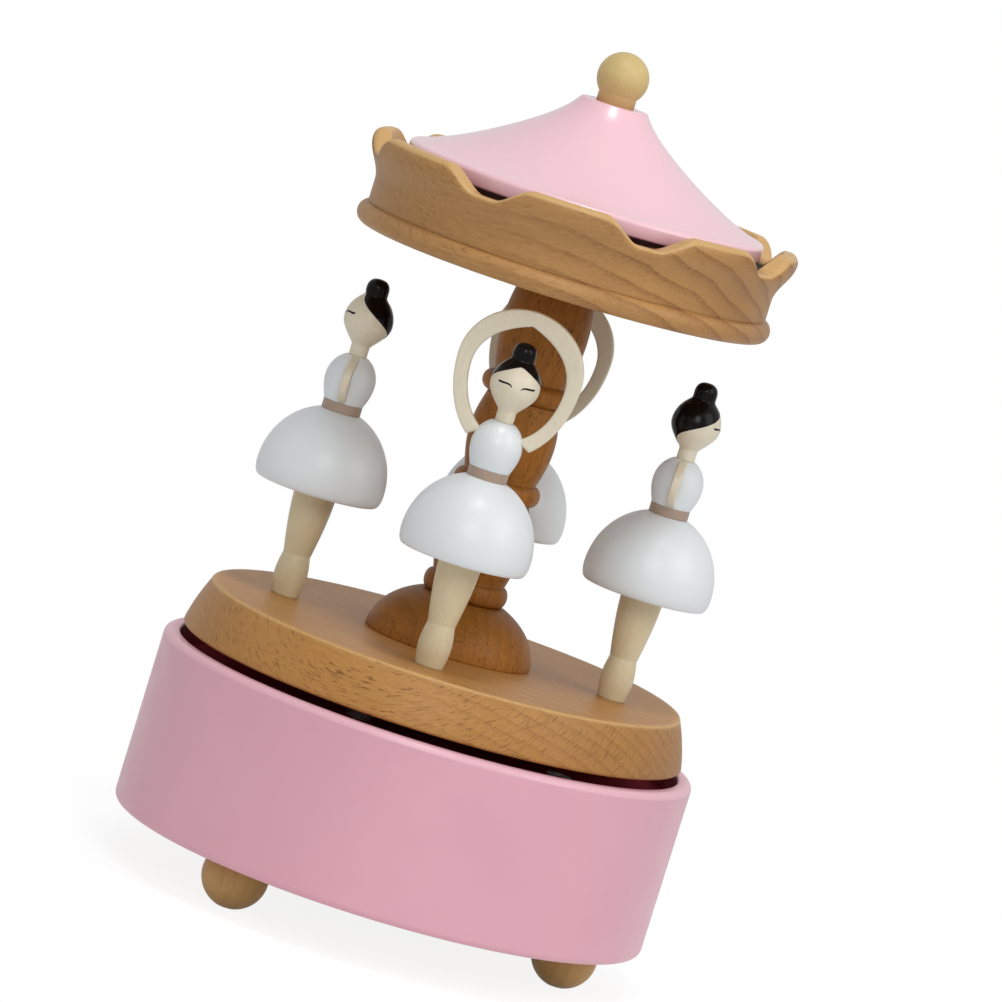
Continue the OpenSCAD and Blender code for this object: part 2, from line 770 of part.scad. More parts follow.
// The cylinder: a tube closed at both ends, with a spiral of pins under the comb's teeth
module cylinder_drum() {
    pins_per_note = 5;
    golden_turn = 137.5;
    color("goldenrod") difference() {
        union() {
            along_x(cylinder_x, 0, arbor_z) cylinder(h = cylinder_l, r = cylinder_r, $fn = 96);
            for (i = [0:notes - 1]) for (k = [0:pins_per_note - 1])
                translate([cylinder_x + (i + 0.5) * comb_pitch, 0, arbor_z])
                    rotate([golden_turn * i + 360 * k / pins_per_note, 0, 0])
                        cylinder(h = cylinder_r + pin_h, r = 0.18, $fn = 6);
        }
        along_x(cylinder_x + cylinder_wall, 0, arbor_z)
            cylinder(h = cylinder_l - 2 * cylinder_wall, r = cylinder_r - cylinder_wall, $fn = 96);
        along_x(cylinder_x - 1, 0, arbor_z) cylinder(h = cylinder_l + 2, d = arbor_d, $fn = 32);
    }
}

module cylinder_arbor() {
    color("silver") {
        along_x(drive_in_r - 0.1, 0, arbor_z)
            cylinder(h = arbor_end_x - drive_in_r + 0.1, d = arbor_d, $fn = 32);
        along_x(drive_in_r - 0.1, 0, arbor_z) linear_extrude(drive_face_w + 0.2)
            rotate(90 + 180 / pinion_teeth) gear_outline(pinion_teeth, drive_module, backlash);
    }
}

module cylinder_gear() {
    color("goldenrod") along_x(cylinder_end_x, 0, arbor_z) linear_extrude(wheel_w) difference() {
        rotate(transfer_turn) gear_outline(end_gear_teeth, fine_module, fine_backlash);
        circle(d = arbor_d, $fn = 32);
    }
}

module transfer_arbor() {
    color("silver") {
        along_x(left_upright_x, transfer_y, transfer_z)
            cylinder(h = bracket_x1 - left_upright_x, d = fine_arbor_d, $fn = 32);
        along_x(transfer_pinion_x, transfer_y, transfer_z) linear_extrude(pinion_w)
            rotate(transfer_turn + 180 + 180 / transfer_teeth)
                gear_outline(transfer_teeth, fine_module, fine_backlash);
    }
}

module worm_wheel() {
    color("ivory") along_x(worm_wheel_x, transfer_y, transfer_z) linear_extrude(pinion_w) difference() {
        gear_outline(worm_wheel_teeth, fine_module, 2 * fine_backlash);
        circle(d = fine_arbor_d, $fn = 32);
    }
}

// The governor's worm: one thread, cut so that a gap faces the worm wheel's tooth
module governor_worm() {
    spindle_z0 = pivot_arm_z + 0.2;
    spindle_z1 = bed_z - 0.2;
    steps = 16;
    crest = 0.09;
    foot_share = 0.24;
    tip_r = worm_r + addendum * fine_module;
    function thread_r(turn) =
        let (d = abs(turn - 0.5)) d < crest ? tip_r
            : d > foot_share ? worm_root_r
            : tip_r - (tip_r - worm_root_r) * (d - crest) / (foot_share - crest);
    color("silver") translate([worm_x, worm_y, 0]) {
        rod(spindle_d, spindle_z0, spindle_z1);
        translate([0, 0, transfer_z - worm_l / 2]) rotate(-90)
            linear_extrude(worm_l, twist = -360 * worm_turns, slices = 14 * worm_turns)
                polygon([for (k = [0:steps - 1]) let (a = -360 * k / steps)
                    thread_r(k / steps) * [cos(a), sin(a)]]);
    }
}

module governor_fan() {
    color("ivory") translate([worm_x, worm_y, fan_z]) difference() {
        union() {
            cylinder(h = fan_h, r = fan_hub_r, $fn = 32);
            translate([-fan_r, -fan_t / 2, 0]) cube([2 * fan_r, fan_t, fan_h]);
        }
        rod(spindle_d, -1, fan_h + 1);
    }
}

module comb() {
    color("silver") difference() {
        translate([0, 0, arbor_z - comb_t / 2]) linear_extrude(comb_t) {
            translate([cylinder_x, -comb_end_y]) square([cylinder_l, comb_block_l + 0.1]);
            for (i = [0:notes - 1])
                translate([cylinder_x + i * comb_pitch + comb_slot / 2, -comb_root_y])
                    square([comb_pitch - comb_slot, comb_tooth_l]);
        }
        at_comb_screws() rod(machine_d + 2 * fit, arbor_z - comb_t, arbor_z + comb_t);
    }
}

module comb_screws() {
    color("silver") at_comb_screws()
        translate([0, 0, arbor_z - comb_t / 2])
            screw(machine_head_d, machine_head_h, machine_d, comb_t + machine_l - 0.5);
}

module governor_bracket() {
    color("gray") difference() {
        union() {
            translate([left_upright_x, bracket_y, bracket_z])
                cube([bracket_x1 - left_upright_x, post_y + post_t - bracket_y, bracket_t]);
            for (x = [left_upright_x, right_upright_x]) {
                translate([x, transfer_y - upright_end_r, transfer_z])
                    cube([upright_t, 2 * upright_end_r, bracket_z - transfer_z + 0.1]);
                along_x(x, transfer_y, transfer_z) cylinder(h = upright_t, r = upright_end_r, $fn = 48);
            }
            translate([worm_x - post_half_w, post_y, pivot_arm_z])
                cube([2 * post_half_w, post_t, bracket_z - pivot_arm_z + 0.1]);
            translate([worm_x - post_half_w, worm_y, pivot_arm_z])
                cube([2 * post_half_w, post_y - worm_y + 0.1, pivot_arm_t]);
            translate([worm_x, worm_y, pivot_arm_z]) cylinder(h = pivot_arm_t, r = post_half_w, $fn = 48);
        }
        along_x(left_upright_x - 1, transfer_y, transfer_z)
            cylinder(h = right_upright_x - left_upright_x + 4, d = fine_arbor_d + 2 * fit, $fn = 32);
        translate([worm_x, worm_y, 0]) rod(spindle_d + 2 * fit, pivot_arm_z - 1, bed_z + 1);
        at_bracket_screws() rod(machine_d + 2 * fit, bracket_z - 1, bed_z + 1);
    }
}

module bracket_screws() {
    color("silver") at_bracket_screws()
        translate([0, 0, bracket_z])
            screw(machine_head_d, machine_head_h, machine_d, bracket_t + bedplate_t - 0.3);
}

// Deck and column ----------------------------------------------------------------------------------

module turntable() {
    steps = 8;
    color("peru") difference() {
        revolve(concat(
            [[0, deck_z]],
            arc(deck_r - deck_edge, deck_z + deck_edge, deck_edge, -90, 0, 4),
            [for (k = [1:steps - 1]) let (t = k / steps)
                [deck_r - deck_slope * t + 4 * deck_bulge * t * (1 - t),
                 deck_z + deck_edge + (deck_t - 2 * deck_edge) * t]],
            arc(deck_top_r - deck_edge, deck_top - deck_edge, deck_edge, 0, 90, 4),
            [[0, deck_top]]
        ));
        rod(column_head_d + loose, deck_z - 1, deck_z + column_head_h + hole_past);
        rod(column_screw_d + 2 * fit, deck_z, deck_top + 1);
        at_hub_screws() rod(hub_screw_d + 2 * fit, deck_z - 1, deck_z + hub_screw_l + hole_past);
        for (i = [0:3]) at_dancer(i) rod(dancer_peg_d + 2 * fit, -dancer_peg_l, 1);
    }
}

module column_screw() {
    color("silver") translate([0, 0, deck_z + column_head_h + hole_past])
        screw(column_head_d, column_head_h, column_screw_d, column_screw_l);
}

module column_foot() {
    pole_angle = acos(lower_bead_d / dome_d);
    color("sienna") difference() {
        revolve(concat(
            [[0, deck_top]],
            oval(0, deck_top, dome_d / 2, dome_h, 0, pole_angle, 14),
            [[0, column_z]]
        ));
        rod(column_screw_d + 2 * fit, deck_top - 1, column_z);
        rod(tenon_d + 2 * fit, column_z - tenon_l, column_z + 1);
    }
}

module column() {
    neck_r = neck_d / 2;
    swell_r = swell_d / 2;
    tenon_r = tenon_d / 2;
    color("sienna") difference() {
        revolve(concat(
            [[0, column_z - tenon_l], [tenon_r, column_z - tenon_l], [tenon_r, column_z]],
            bead(column_z, bead_h, neck_r, lower_bead_d / 2),
            swell(column_z + bead_h, lower_swell_h, neck_r, swell_r),
            bead(middle_bead_z, bead_h, neck_r, middle_bead_d / 2),
            swell(middle_bead_z + bead_h, middle_swell_h, neck_r, swell_r),
            bead(upper_bead_z, bead_h, neck_r, upper_bead_d / 2),
            swell(upper_bead_z + bead_h, upper_swell_h, neck_r, swell_r),
            [[tenon_r, crown_z], [tenon_r, crown_z + tenon_l], [0, crown_z + tenon_l]]
        ));
        rod(column_screw_d + 2 * fit, column_z - tenon_l - 1,
            deck_z + column_head_h + column_screw_l + 2 * hole_past);
        rod(crown_screw_d + 2 * fit, crown_floor - crown_screw_l - 1, crown_z + tenon_l + 1);
    }
}

// Crown, roof and finial ---------------------------------------------------------------------------

// One valley of the rim, as a shape to cut away, drawn in Y and Z
module scallop_cut() {
    pitch = PI * crown_d / scallops;
    flat = pitch * valley_share / 2;
    reach = pitch * (1 - tip_share) / 2;
    steps = 8;
    side = [for (k = [0:steps]) let (t = k / steps)
        [flat + (reach - flat) * t, crown_top - scallop_depth + scallop_depth * (1 - cos(180 * t)) / 2]];
    polygon(concat(
        [for (k = [steps:-1:0]) [-side[k][0], side[k][1]]],
        side,
        [[reach, crown_top + 1], [-reach, crown_top + 1]]
    ));
}

module crown() {
    floor_r = crown_floor_r;
    floor_edge = 0.8;
    bead_top = crown_z + crown_bead_h;
    bead_seat = 0.3;
    lip = min(crown_lip_r, crown_wall - crown_inner_edge);
    lip_z = crown_top - lip;
    steps = 12;
    // The side stands upright, then swings out and upright again as a half wave
    function wall_r(z) =
        let (t = max(0, (z - crown_waist_z) / (lip_z - crown_waist_z)))
        crown_waist_r + crown_flare / 2 * (1 - cos(180 * t)) / 2;
    color("peru") difference() {
        revolve(concat(
            [[0, crown_z]],
            bead(crown_z, crown_bead_h, crown_waist_r - bead_seat, crown_bead_d / 2),
            [[crown_waist_r, bead_top]],
            [for (k = [0:steps - 1]) let (z = crown_waist_z + (lip_z - crown_waist_z) * k / steps)
                [wall_r(z), z]],
            arc(crown_r - lip, lip_z, lip, 0, 90),
            arc(crown_inner_r + crown_inner_edge, crown_top - crown_inner_edge, crown_inner_edge, 90, 180, 4),
            [[floor_r + floor_edge, crown_floor + floor_edge], [floor_r, crown_floor], [0, crown_floor]]
        ));
        rod(tenon_d + 2 * fit, crown_z - 1, crown_z + tenon_l);
        rod(crown_screw_d + 2 * fit, crown_z, crown_floor + 1);
        for (i = [0:scallops - 1])
            rotate((i + 0.5) * 360 / scallops + sawn_off[i % len(sawn_off)])
                along_x(floor_r - crown_wall, 0, 0)
                    linear_extrude(crown_r - floor_r + 2 * crown_wall) scallop_cut();
    }
}

module crown_screw() {
    color("silver") translate([0, 0, crown_floor]) mirror([0, 0, 1])
        screw(crown_head_d, crown_head_h, crown_screw_d, crown_screw_l);
}

// The roof's hollow slope: a soft curve with a steeper start at the top
function roof_height(t) = 0.9 * pow(1 - t, 1.35) + 0.1 * exp(-12.5 * t);

module roof() {
    edge = 0.5;
    steps = 24;
    top_r = roof_top_d / 2;
    color("lightpink") difference() {
        revolve(concat(
            [[0, crown_floor], [spigot_r, crown_floor], [spigot_r, roof_z]],
            arc(roof_r - edge, roof_z + edge, edge, -90, 0, 3),
            [for (k = [steps:-1:0]) let (t = k / steps)
                [top_r + (roof_r - top_r) * t, roof_slope_z + roof_rise * roof_height(t) / roof_height(0)]],
            [[0, roof_top]]
        ));
        rod(roof_cavity_d, crown_floor - 1, crown_floor + roof_cavity_h);
        rod(finial_peg_d + 2 * fit, roof_top - finial_peg_l, roof_top + 1);
    }
}

module finial() {
    ball_r = finial_d / 2;
    neck_r = finial_neck_d / 2;
    ball_z = roof_top + finial_h - ball_r;
    peg_r = finial_peg_d / 2;
    peg_z = roof_top - finial_peg_l;
    color("wheat") revolve(concat(
        [[0, peg_z], [peg_r, peg_z], [peg_r, roof_top], [neck_r, roof_top]],
        arc(0, ball_z, ball_r, -acos(neck_r / ball_r), 90, 20)
    ));
}

// Dancers ------------------------------------------------------------------------------------------

// Stands a dancer on the deck, its face outwards: 0 is at the front, then anticlockwise from above
module at_dancer(i) {
    rotate(90 * i) translate([0, -dancer_ring_r, deck_top]) children();
}

module dancer_legs() {
    steps = 10;
    ankle_r = ankle_d / 2;
    peg_r = dancer_peg_d / 2;
    color("wheat") revolve(concat(
        [[0, -dancer_peg_l], [peg_r, -dancer_peg_l], [peg_r, 0]],
        swell(0, shoe_h, ankle_r, shoe_d / 2, 10),
        [for (k = [1:steps]) let (t = k / steps)
            [ankle_r + (thigh_d / 2 - ankle_r) * sin(90 * t), shoe_h + (skirt_z - shoe_h) * t]],
        [[peg_r, skirt_z], [peg_r, belt_z + belt_h], [0, belt_z + belt_h]]
    ));
}

// The skirt is turned as half an egg, with a rounded lower rim
module dancer_skirt() {
    wide_z = skirt_z + skirt_rim;
    skirt_r = skirt_d / 2;
    dome = (belt_z - wide_z) / sqrt(1 - pow(belt_d / skirt_d, 2));
    color("whitesmoke") difference() {
        revolve(concat(
            [[0, skirt_z]],
            oval(skirt_r - skirt_rim / 3, wide_z, skirt_rim / 3, skirt_rim, -90, 0, 6),
            [for (k = [1:16]) let (a = acos(belt_d / skirt_d) * k / 16)
                [skirt_r * cos(a), wide_z + dome * sin(a)]],
            [[0, belt_z]]
        ));
        rod(dancer_peg_d + 2 * fit, skirt_z - 1, belt_z + 1);
    }
}

module dancer_belt() {
    color("rosybrown") difference() {
        rod(belt_d, belt_z, bodice_z);
        rod(dancer_peg_d + 2 * fit, belt_z - 1, bodice_z + 1);
    }
}

module bodice_body() {
    bodice_r = bodice_d / 2;
    waist_r = belt_d / 2 - 0.05;
    wide_h = 0.47 * bodice_h;
    neck_end = 0.45;
    top_h = (bodice_h - wide_h) / sqrt(1 - pow(neck_end, 2));
    revolve(concat(
        [[0, bodice_z]],
        [for (k = [0:8]) [waist_r + (bodice_r - waist_r) * sin(90 * k / 8), bodice_z + wide_h * k / 8]],
        [for (k = [1:12]) let (a = acos(neck_end) * k / 12)
            [bodice_r * cos(a), bodice_z + wide_h + top_h * sin(a)]],
        [[0, throat_z]]
    ));
}

module dancer_bodice(raised) {
    peg_end = throat_z - head_peg_l - 2 * hole_past;
    color("whitesmoke") difference() {
        bodice_body();
        rod(dancer_peg_d + 2 * fit, peg_end, throat_z + 1);
        arms_shape(raised);
    }
}

// Head, neck and bun are one turning: an egg on a short neck, with a domed bun on top
module dancer_head() {
    head_r = head_d / 2;
    throat_r = throat_d / 2;
    bun_r = bun_d / 2;
    peg_r = dancer_peg_d / 2;
    top_h = crown_of_head - head_wide_z;
    bun_angle = acos(bun_r / head_r);
    bun_dome_z = crown_of_head + bun_h - bun_dome_h;
    color("wheat") revolve(concat(
        [[0, throat_z - head_peg_l], [peg_r, throat_z - head_peg_l], [peg_r, throat_z], [throat_r, throat_z]],
        [for (k = [0:12]) let (t = k / 12)
            [throat_r + (head_r - throat_r) * pow(sin(90 * t), 1.1), chin_z + head_wide_h * t]],
        [for (k = [1:12]) let (a = bun_angle * k / 12) [head_r * cos(a), head_wide_z + top_h * sin(a)]],
        oval(0, bun_dome_z, bun_r, bun_dome_h, 0, 90, 10)
    ));
}

// One raised arm in the plane of the body, from the shoulder up over the head, where its inner edge
// runs straight to a point
module raised_arm_outline() {
    wide_z = arms_wide_z;
    inner_z = wide_z - raised_inner_sink;
    in_w = raised_half_w - raised_w;
    top_in = raised_top - raised_w;
    polygon(concat(
        oval(0, wide_z, raised_half_w, raised_drop, -outer_end_angle, 0, 12),
        oval(0, wide_z, raised_half_w, raised_top, 0, 90, 16),
        [[0, wide_z + top_in]],
        oval(0, inner_z, in_w, top_in, point_angle, 0, 12),
        oval(0, inner_z, in_w, raised_inner_drop - raised_inner_sink, 0, -inner_end_angle, 12)
    ));
}

// One lowered arm: an arc from the shoulder out and back to the waist
module lowered_arm_outline() {
    top_z = throat_z - shoulder_drop;
    low_z = bodice_z + wrist_lift;
    mid_z = (top_z + low_z) / 2;
    half_h = (top_z - low_z) / 2;
    reach = lowered_half_w - lowered_root;
    polygon(concat(
        oval(lowered_root, mid_z, reach, half_h, -90, 90, 16),
        oval(lowered_root, mid_z, reach - lowered_w, half_h - lowered_end_w, 90, -90, 16)
    ));
}

module arms_shape(raised) {
    for (side = [0, 1]) mirror([side, 0, 0])
        rotate([90, 0, 0]) translate([0, 0, -arm_t / 2]) linear_extrude(arm_t) {
            if (raised) raised_arm_outline();
            else lowered_arm_outline();
        }
}

module dancer_arms(raised) {
    color("wheat") arms_shape(raised);
}

module dancer_part(part, raised) {
    if (part == "legs") dancer_legs();
    if (part == "skirt") dancer_skirt();
    if (part == "belt") dancer_belt();
    if (part == "bodice") dancer_bodice(raised);
    if (part == "head") dancer_head();
    if (part == "arms") dancer_arms(raised);
}

// Every node ---------------------------------------------------------------------------------------

base_drum();
base_plate();
base_plate_screws();
for (i = [0:foot_count - 1])
    foot(i);
bedplate();
movement_screws();
spring_housing();
housing_screws();
mainspring();
comb();
comb_screws();
governor_bracket();
bracket_screws();
drive_shaft();
great_wheel();
drive_hub();
hub_screws();
turntable();
column_screw();
column_foot();
column();
crown();
crown_screw();
roof();
finial();
cylinder_drum();  // cylinder
cylinder_arbor();
cylinder_gear();
transfer_arbor();
worm_wheel();
governor_worm();
governor_fan();
for (i = [0:3]) for (part = DANCER_PARTS)
    at_dancer(i) dancer_part(part, i % 2 == 0);
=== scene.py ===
"""Carousel music box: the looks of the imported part, piece by piece in the order it is put together."""

import bpy
import numpy as np
from mathutils import Matrix, Vector


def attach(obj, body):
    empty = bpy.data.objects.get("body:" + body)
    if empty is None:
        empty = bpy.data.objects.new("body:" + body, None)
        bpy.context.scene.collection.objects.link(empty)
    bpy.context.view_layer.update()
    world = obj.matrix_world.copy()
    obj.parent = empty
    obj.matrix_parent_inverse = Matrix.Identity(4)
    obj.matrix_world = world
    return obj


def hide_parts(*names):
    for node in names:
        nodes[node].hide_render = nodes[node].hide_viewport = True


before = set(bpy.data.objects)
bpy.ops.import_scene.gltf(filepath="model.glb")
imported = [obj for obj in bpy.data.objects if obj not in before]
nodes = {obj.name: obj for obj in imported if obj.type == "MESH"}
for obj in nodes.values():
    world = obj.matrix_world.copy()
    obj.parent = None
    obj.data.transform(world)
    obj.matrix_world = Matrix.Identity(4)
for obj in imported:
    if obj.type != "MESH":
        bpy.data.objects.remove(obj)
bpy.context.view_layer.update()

# Table and studio --------------------------------------------------------------------------------
# The box stands on a plain white table in a light tent: a small lamp high up in front, a lower one in
# front, a wide one at the right, and even light from all round. The table keeps a faint soft shadow.

mm = 0.001
table_radius = 2500 * mm
shadow_radius = 260 * mm
open_radius = 420 * mm
table_white = 0.93
table_lift = 1.05
shadow_share = 0.18
tent_light = 0.42
tent_white = 1.0
mirrored_share = 0.5
box_middle = (0, 0, 95 * mm)


def new_material(name):
    """An empty node material; returns it, its tree and its output node."""
    material = bpy.data.materials.new(name)
    material.use_nodes = True
    tree = material.node_tree
    tree.nodes.clear()
    return material, tree, tree.nodes.new("ShaderNodeOutputMaterial")


def add(tree, kind, inputs=None, **settings):
    """A shader node of a kind, its sockets fed by values or by other nodes' outputs."""
    made = tree.nodes.new("ShaderNode" + kind)
    for key, value in settings.items():
        setattr(made, key, value)
    for socket, value in (inputs or {}).items():
        if isinstance(value, bpy.types.NodeSocket):
            tree.links.new(value, made.inputs[socket])
        else:
            made.inputs[socket].default_value = value
    return made


def calc(tree, operation, first, second=0.0, third=0.0):
    """One sum worked out by a Math node; returns its result."""
    return add(tree, "Math", {0: first, 1: second, 2: third}, operation=operation).outputs[0]


def stretch(tree, value, low, high, to_low=0.0, to_high=1.0):
    """Maps a value from one span to another, held at the ends."""
    inputs = {"Value": value, "From Min": low, "From Max": high, "To Min": to_low, "To Max": to_high}
    return add(tree, "MapRange", inputs).outputs["Result"]


def seen_directly(tree):
    """1 on rays straight from the camera, mirrored_share in mirrorings, and 0 on rays that give light."""
    ray = add(tree, "LightPath").outputs
    return calc(tree, "MULTIPLY_ADD", ray["Is Glossy Ray"], mirrored_share, ray["Is Camera Ray"])


world = bpy.data.worlds.new("tent")
world.use_nodes = True
world.node_tree.nodes.clear()
tent_strength = stretch(world.node_tree, seen_directly(world.node_tree), 0.0, 1.0, tent_light, tent_white)
tent = add(world.node_tree, "Background", {"Color": (1, 1, 1, 1), "Strength": tent_strength})
world_out = world.node_tree.nodes.new("ShaderNodeOutputWorld")
world.node_tree.links.new(tent.outputs[0], world_out.inputs[0])
bpy.context.scene.world = world


def white_table():
    """Matt white near the box, where the shadow falls, and pure white further out."""
    material, tree, out = new_material("white_table")
    place = add(tree, "TexCoord").outputs["Object"]
    reach = add(tree, "VectorMath", {0: place}, operation="LENGTH").outputs["Value"]
    seen = seen_directly(tree)
    white = stretch(tree, seen, 0.0, 1.0, table_white, shadow_share)
    matt = add(tree, "BsdfDiffuse", {"Color": white})
    lift = add(tree, "Emission", {"Strength": calc(tree, "MULTIPLY", seen, table_lift - shadow_share)})
    near = add(tree, "AddShader", {0: matt.outputs[0], 1: lift.outputs[0]})
    far = add(tree, "Emission", {"Strength": stretch(tree, seen, 0.0, 1.0, tent_light, 1.0)})
    share = stretch(tree, reach, shadow_radius, open_radius)
    both = add(tree, "MixShader", {0: share, 1: near.outputs[0], 2: far.outputs[0]})
    tree.links.new(both.outputs[0], out.inputs["Surface"])
    return material


def stand(name, data):
    """Puts a mesh, lamp or camera into the scene as an object at the origin."""
    made = bpy.data.objects.new(name, data)
    bpy.context.scene.collection.objects.link(made)
    return made


def disc(name, radius, around=64):
    """A flat disc at z = 0: a fan of triangles from the middle to a circle, x = r cos a, y = r sin a."""
    angle = np.linspace(0, 2 * np.pi, around, endpoint=False)
    circle = np.column_stack([radius * np.cos(angle), radius * np.sin(angle), np.zeros(around)])
    here = np.arange(around)
    faces = np.column_stack([np.full(around, around), here, (here + 1) % around])
    mesh = bpy.data.meshes.new(name)
    mesh.from_pydata(np.vstack([circle, [[0, 0, 0]]]).tolist(), [], faces.tolist())
    return stand(name, mesh)


table = disc("table_top", table_radius)
table.data.materials.append(white_table())


def lamp(name, place, power, size):
    """A square soft lamp that faces the middle of the box."""
    light = bpy.data.lights.new(name, "AREA")
    light.energy = power
    light.size = size
    made = stand(name, light)
    made.location = place
    made.rotation_euler = (Vector(box_middle) - Vector(place)).to_track_quat("-Z", "Y").to_euler()


lamp("key_lamp", place=(0.05, -0.45, 1.5), power=5.4, size=0.32)
lamp("front_lamp", place=(0.1, -1.25, 0.75), power=4.0, size=0.5)
lamp("side_lamp", place=(1.0, -0.45, 0.8), power=4.4, size=0.8)

# Camera: 1.6 m in front and a little to the right, looking down a few degrees. It is turned about
# its own line of sight, so the upright box is seen leaning to the right.
camera_reach = 1600 * mm
camera_height = 281.6 * mm
camera_side = 4.0
camera_turn_in = 0.062
camera_down = 6.726
camera_lean = 17.2
camera_lens = 278.2
camera_film = 36.0

side = np.radians(camera_side)
heading = np.radians(camera_side - camera_turn_in)
down = np.radians(camera_down)
lean = np.radians(camera_lean)
forward = np.array([-np.sin(heading) * np.cos(down), np.cos(heading) * np.cos(down), -np.sin(down)])
level = np.array([np.cos(heading), np.sin(heading), 0.0])
upright = np.cross(level, forward)
camera_x = np.cos(lean) * level + np.sin(lean) * upright
camera_y = np.cos(lean) * upright - np.sin(lean) * level
camera_place = (camera_reach * np.sin(side), -camera_reach * np.cos(side), camera_height)
camera = stand("camera", bpy.data.cameras.new("camera"))
camera.data.lens = camera_lens
camera.data.sensor_width = camera_film
camera.data.clip_end = 10.0
camera_axes = np.column_stack([camera_x, camera_y, -forward])
camera.matrix_world = Matrix.Translation(camera_place) @ Matrix(camera_axes.tolist()).to_4x4()
bpy.context.scene.camera = camera
bpy.context.scene.view_settings.view_transform = "Standard"

# Base drum ---------------------------------------------------------------------------------------
# A thick ring of turned wood, bored out below for the movement, under satin pink paint. The rim's top
# edge is a little paler, from wear and a painted highlight, and a darker matt red is painted in the
# recess and below as painted shade.

drum_r = 57.5
drum_low = 10.3
drum_high = 47.9
drum_round = 1.5
recess_r = 54.2
recess_z = 42.9
web_low = 36.9
bore_r = 5.0
pocket_r = 44.5
pocket_low = 16.3
seat_r = 50.5
rim_pale_width = 0.5
# How far above the recess floor the painted shade rises, and how softly it fades.
recess_shade_rise = 1.4
recess_shade_fade = 1.2


def colour(code):
    """The linear colour of a paint chart's hex code."""
    parts = np.array([int(code[i:i + 2], 16) for i in (0, 2, 4)]) / 255
    linear = np.where(parts <= 0.04045, parts / 12.92, ((parts + 0.055) / 1.055) ** 2.4)
    return (*linear.tolist(), 1.0)


def noise(tree, place, size, detail=2.0, roughness=0.5, stretch_by=(1, 1, 1)):
    """Soft noise with grains of a size in metres, longer where stretch_by is more than 1."""
    scale = tuple(1 / (size * by) for by in stretch_by)
    scaled = add(tree, "Mapping", {"Vector": place, "Scale": scale}).outputs[0]
    inputs = {"Vector": scaled, "Scale": 1.0, "Detail": detail, "Roughness": roughness}
    return add(tree, "TexNoise", inputs).outputs["Fac"]


def blend(tree, share, first, second):
    """The first colour where the share is 0 and the second where it is 1. The sockets of a Mix node that
    take colours are its seventh and eighth, and its third gives the mixed one."""
    return add(tree, "Mix", {0: share, 6: first, 7: second}, data_type="RGBA").outputs[2]


def surface(material, tree, out, **inputs):
    """Ends a material in one shader; an input's name is a socket's, with _ for each space."""
    sockets = {key.replace("_", " "): value for key, value in inputs.items()}
    tree.links.new(add(tree, "BsdfPrincipled", sockets).outputs[0], out.inputs["Surface"])
    return material


def satin_paint(name, main, pale, painted_shade_colour, gloss=0.36, coat=0.12, coat_gloss=0.25):
    """Brushed satin paint: two close tints in soft clouds, and the faint orange peel of the coat. The
    mesh's attribute says where the paint is paler, from 0 to 1, which is wear and a painted
    highlight, and where it is painted darker and matt as painted shade, down to -1."""
    material, tree, out = new_material(name)
    place = add(tree, "TexCoord").outputs["Object"]
    # Above 0 the paint is paler, from wear and a painted highlight; below 0 it is painted shade.
    rubbed = add(tree, "Attribute", attribute_name="rubbed").outputs["Fac"]
    clouds = noise(tree, place, 24 * mm, detail=3.0)
    peel = noise(tree, place, 1.1 * mm, detail=2.0)
    specks = stretch(tree, noise(tree, place, 0.6 * mm, detail=1.0), 0.3, 0.6, 0.6, 1.0)
    wear_and_light = calc(tree, "MULTIPLY", stretch(tree, rubbed, 0.0, 1.0), specks)
    tint = blend(tree, stretch(tree, clouds, 0.3, 0.75, 0.0, 0.35), colour(main), colour(pale))
    tint = blend(tree, wear_and_light, tint, colour(pale))
    # Painted shade: a darker colour where the attribute falls below 0.
    tint = blend(tree, stretch(tree, rubbed, 0.0, -1.0), tint, colour(painted_shade_colour))
    sheen = stretch(tree, noise(tree, place, 6 * mm), 0.3, 0.7, gloss - 0.05, gloss + 0.06)
    bump = add(tree, "Bump", {"Height": peel, "Strength": 0.03, "Distance": 0.02 * mm}).outputs[0]
    # Where the painted shade is deepest the specular and coat go, so it reads matt.
    unshaded = stretch(tree, rubbed, -1.0, -0.6)
    return surface(material, tree, out, Base_Color=tint, Roughness=sheen, Normal=bump,
                   Specular_IOR_Level=calc(tree, "MULTIPLY", unshaded, 0.5),
                   Coat_Weight=calc(tree, "MULTIPLY", unshaded, coat), Coat_Roughness=coat_gloss)


def skin(name, rings, closed=False, **shades):
    """A smooth surface through rings of points, in millimetres, as an array by ring, place round the
    ring and x, y, z. Each ring is joined to the next. The two ends close on their own middle points, or
    on each other where closed is true. Each shade is a number per point that a material reads."""
    count, around = rings.shape[:2]
    index = np.arange(count * around).reshape(count, around)
    if closed:
        index = np.vstack([index, index[:1]])
    beside = np.roll(index, -1, axis=1)
    faces = np.stack([index[:-1], beside[:-1], beside[1:], index[1:]], axis=-1).reshape(-1, 4).tolist()
    points = rings.reshape(-1, 3)
    if not closed:
        ends = np.array([rings[0].mean(axis=0), rings[-1].mean(axis=0)])
        points = np.vstack([points, ends])
        faces += np.column_stack([np.full(around, len(points) - 2), beside[0], index[0]]).tolist()
        faces += np.column_stack([np.full(around, len(points) - 1), index[-1], beside[-1]]).tolist()
    mesh = bpy.data.meshes.new(name)
    mesh.from_pydata((points * mm).tolist(), [], faces)
    mesh.polygons.foreach_set("use_smooth", np.ones(len(faces), bool))
    for key, value in shades.items():
        amount = np.broadcast_to(value, (count, around)).ravel()
        amount = np.append(amount, [amount[0], amount[-1]])[:len(points)]
        mesh.attributes.new(key, "FLOAT", "POINT").data.foreach_set("value", amount.astype(np.float32))
    return stand(name, mesh)


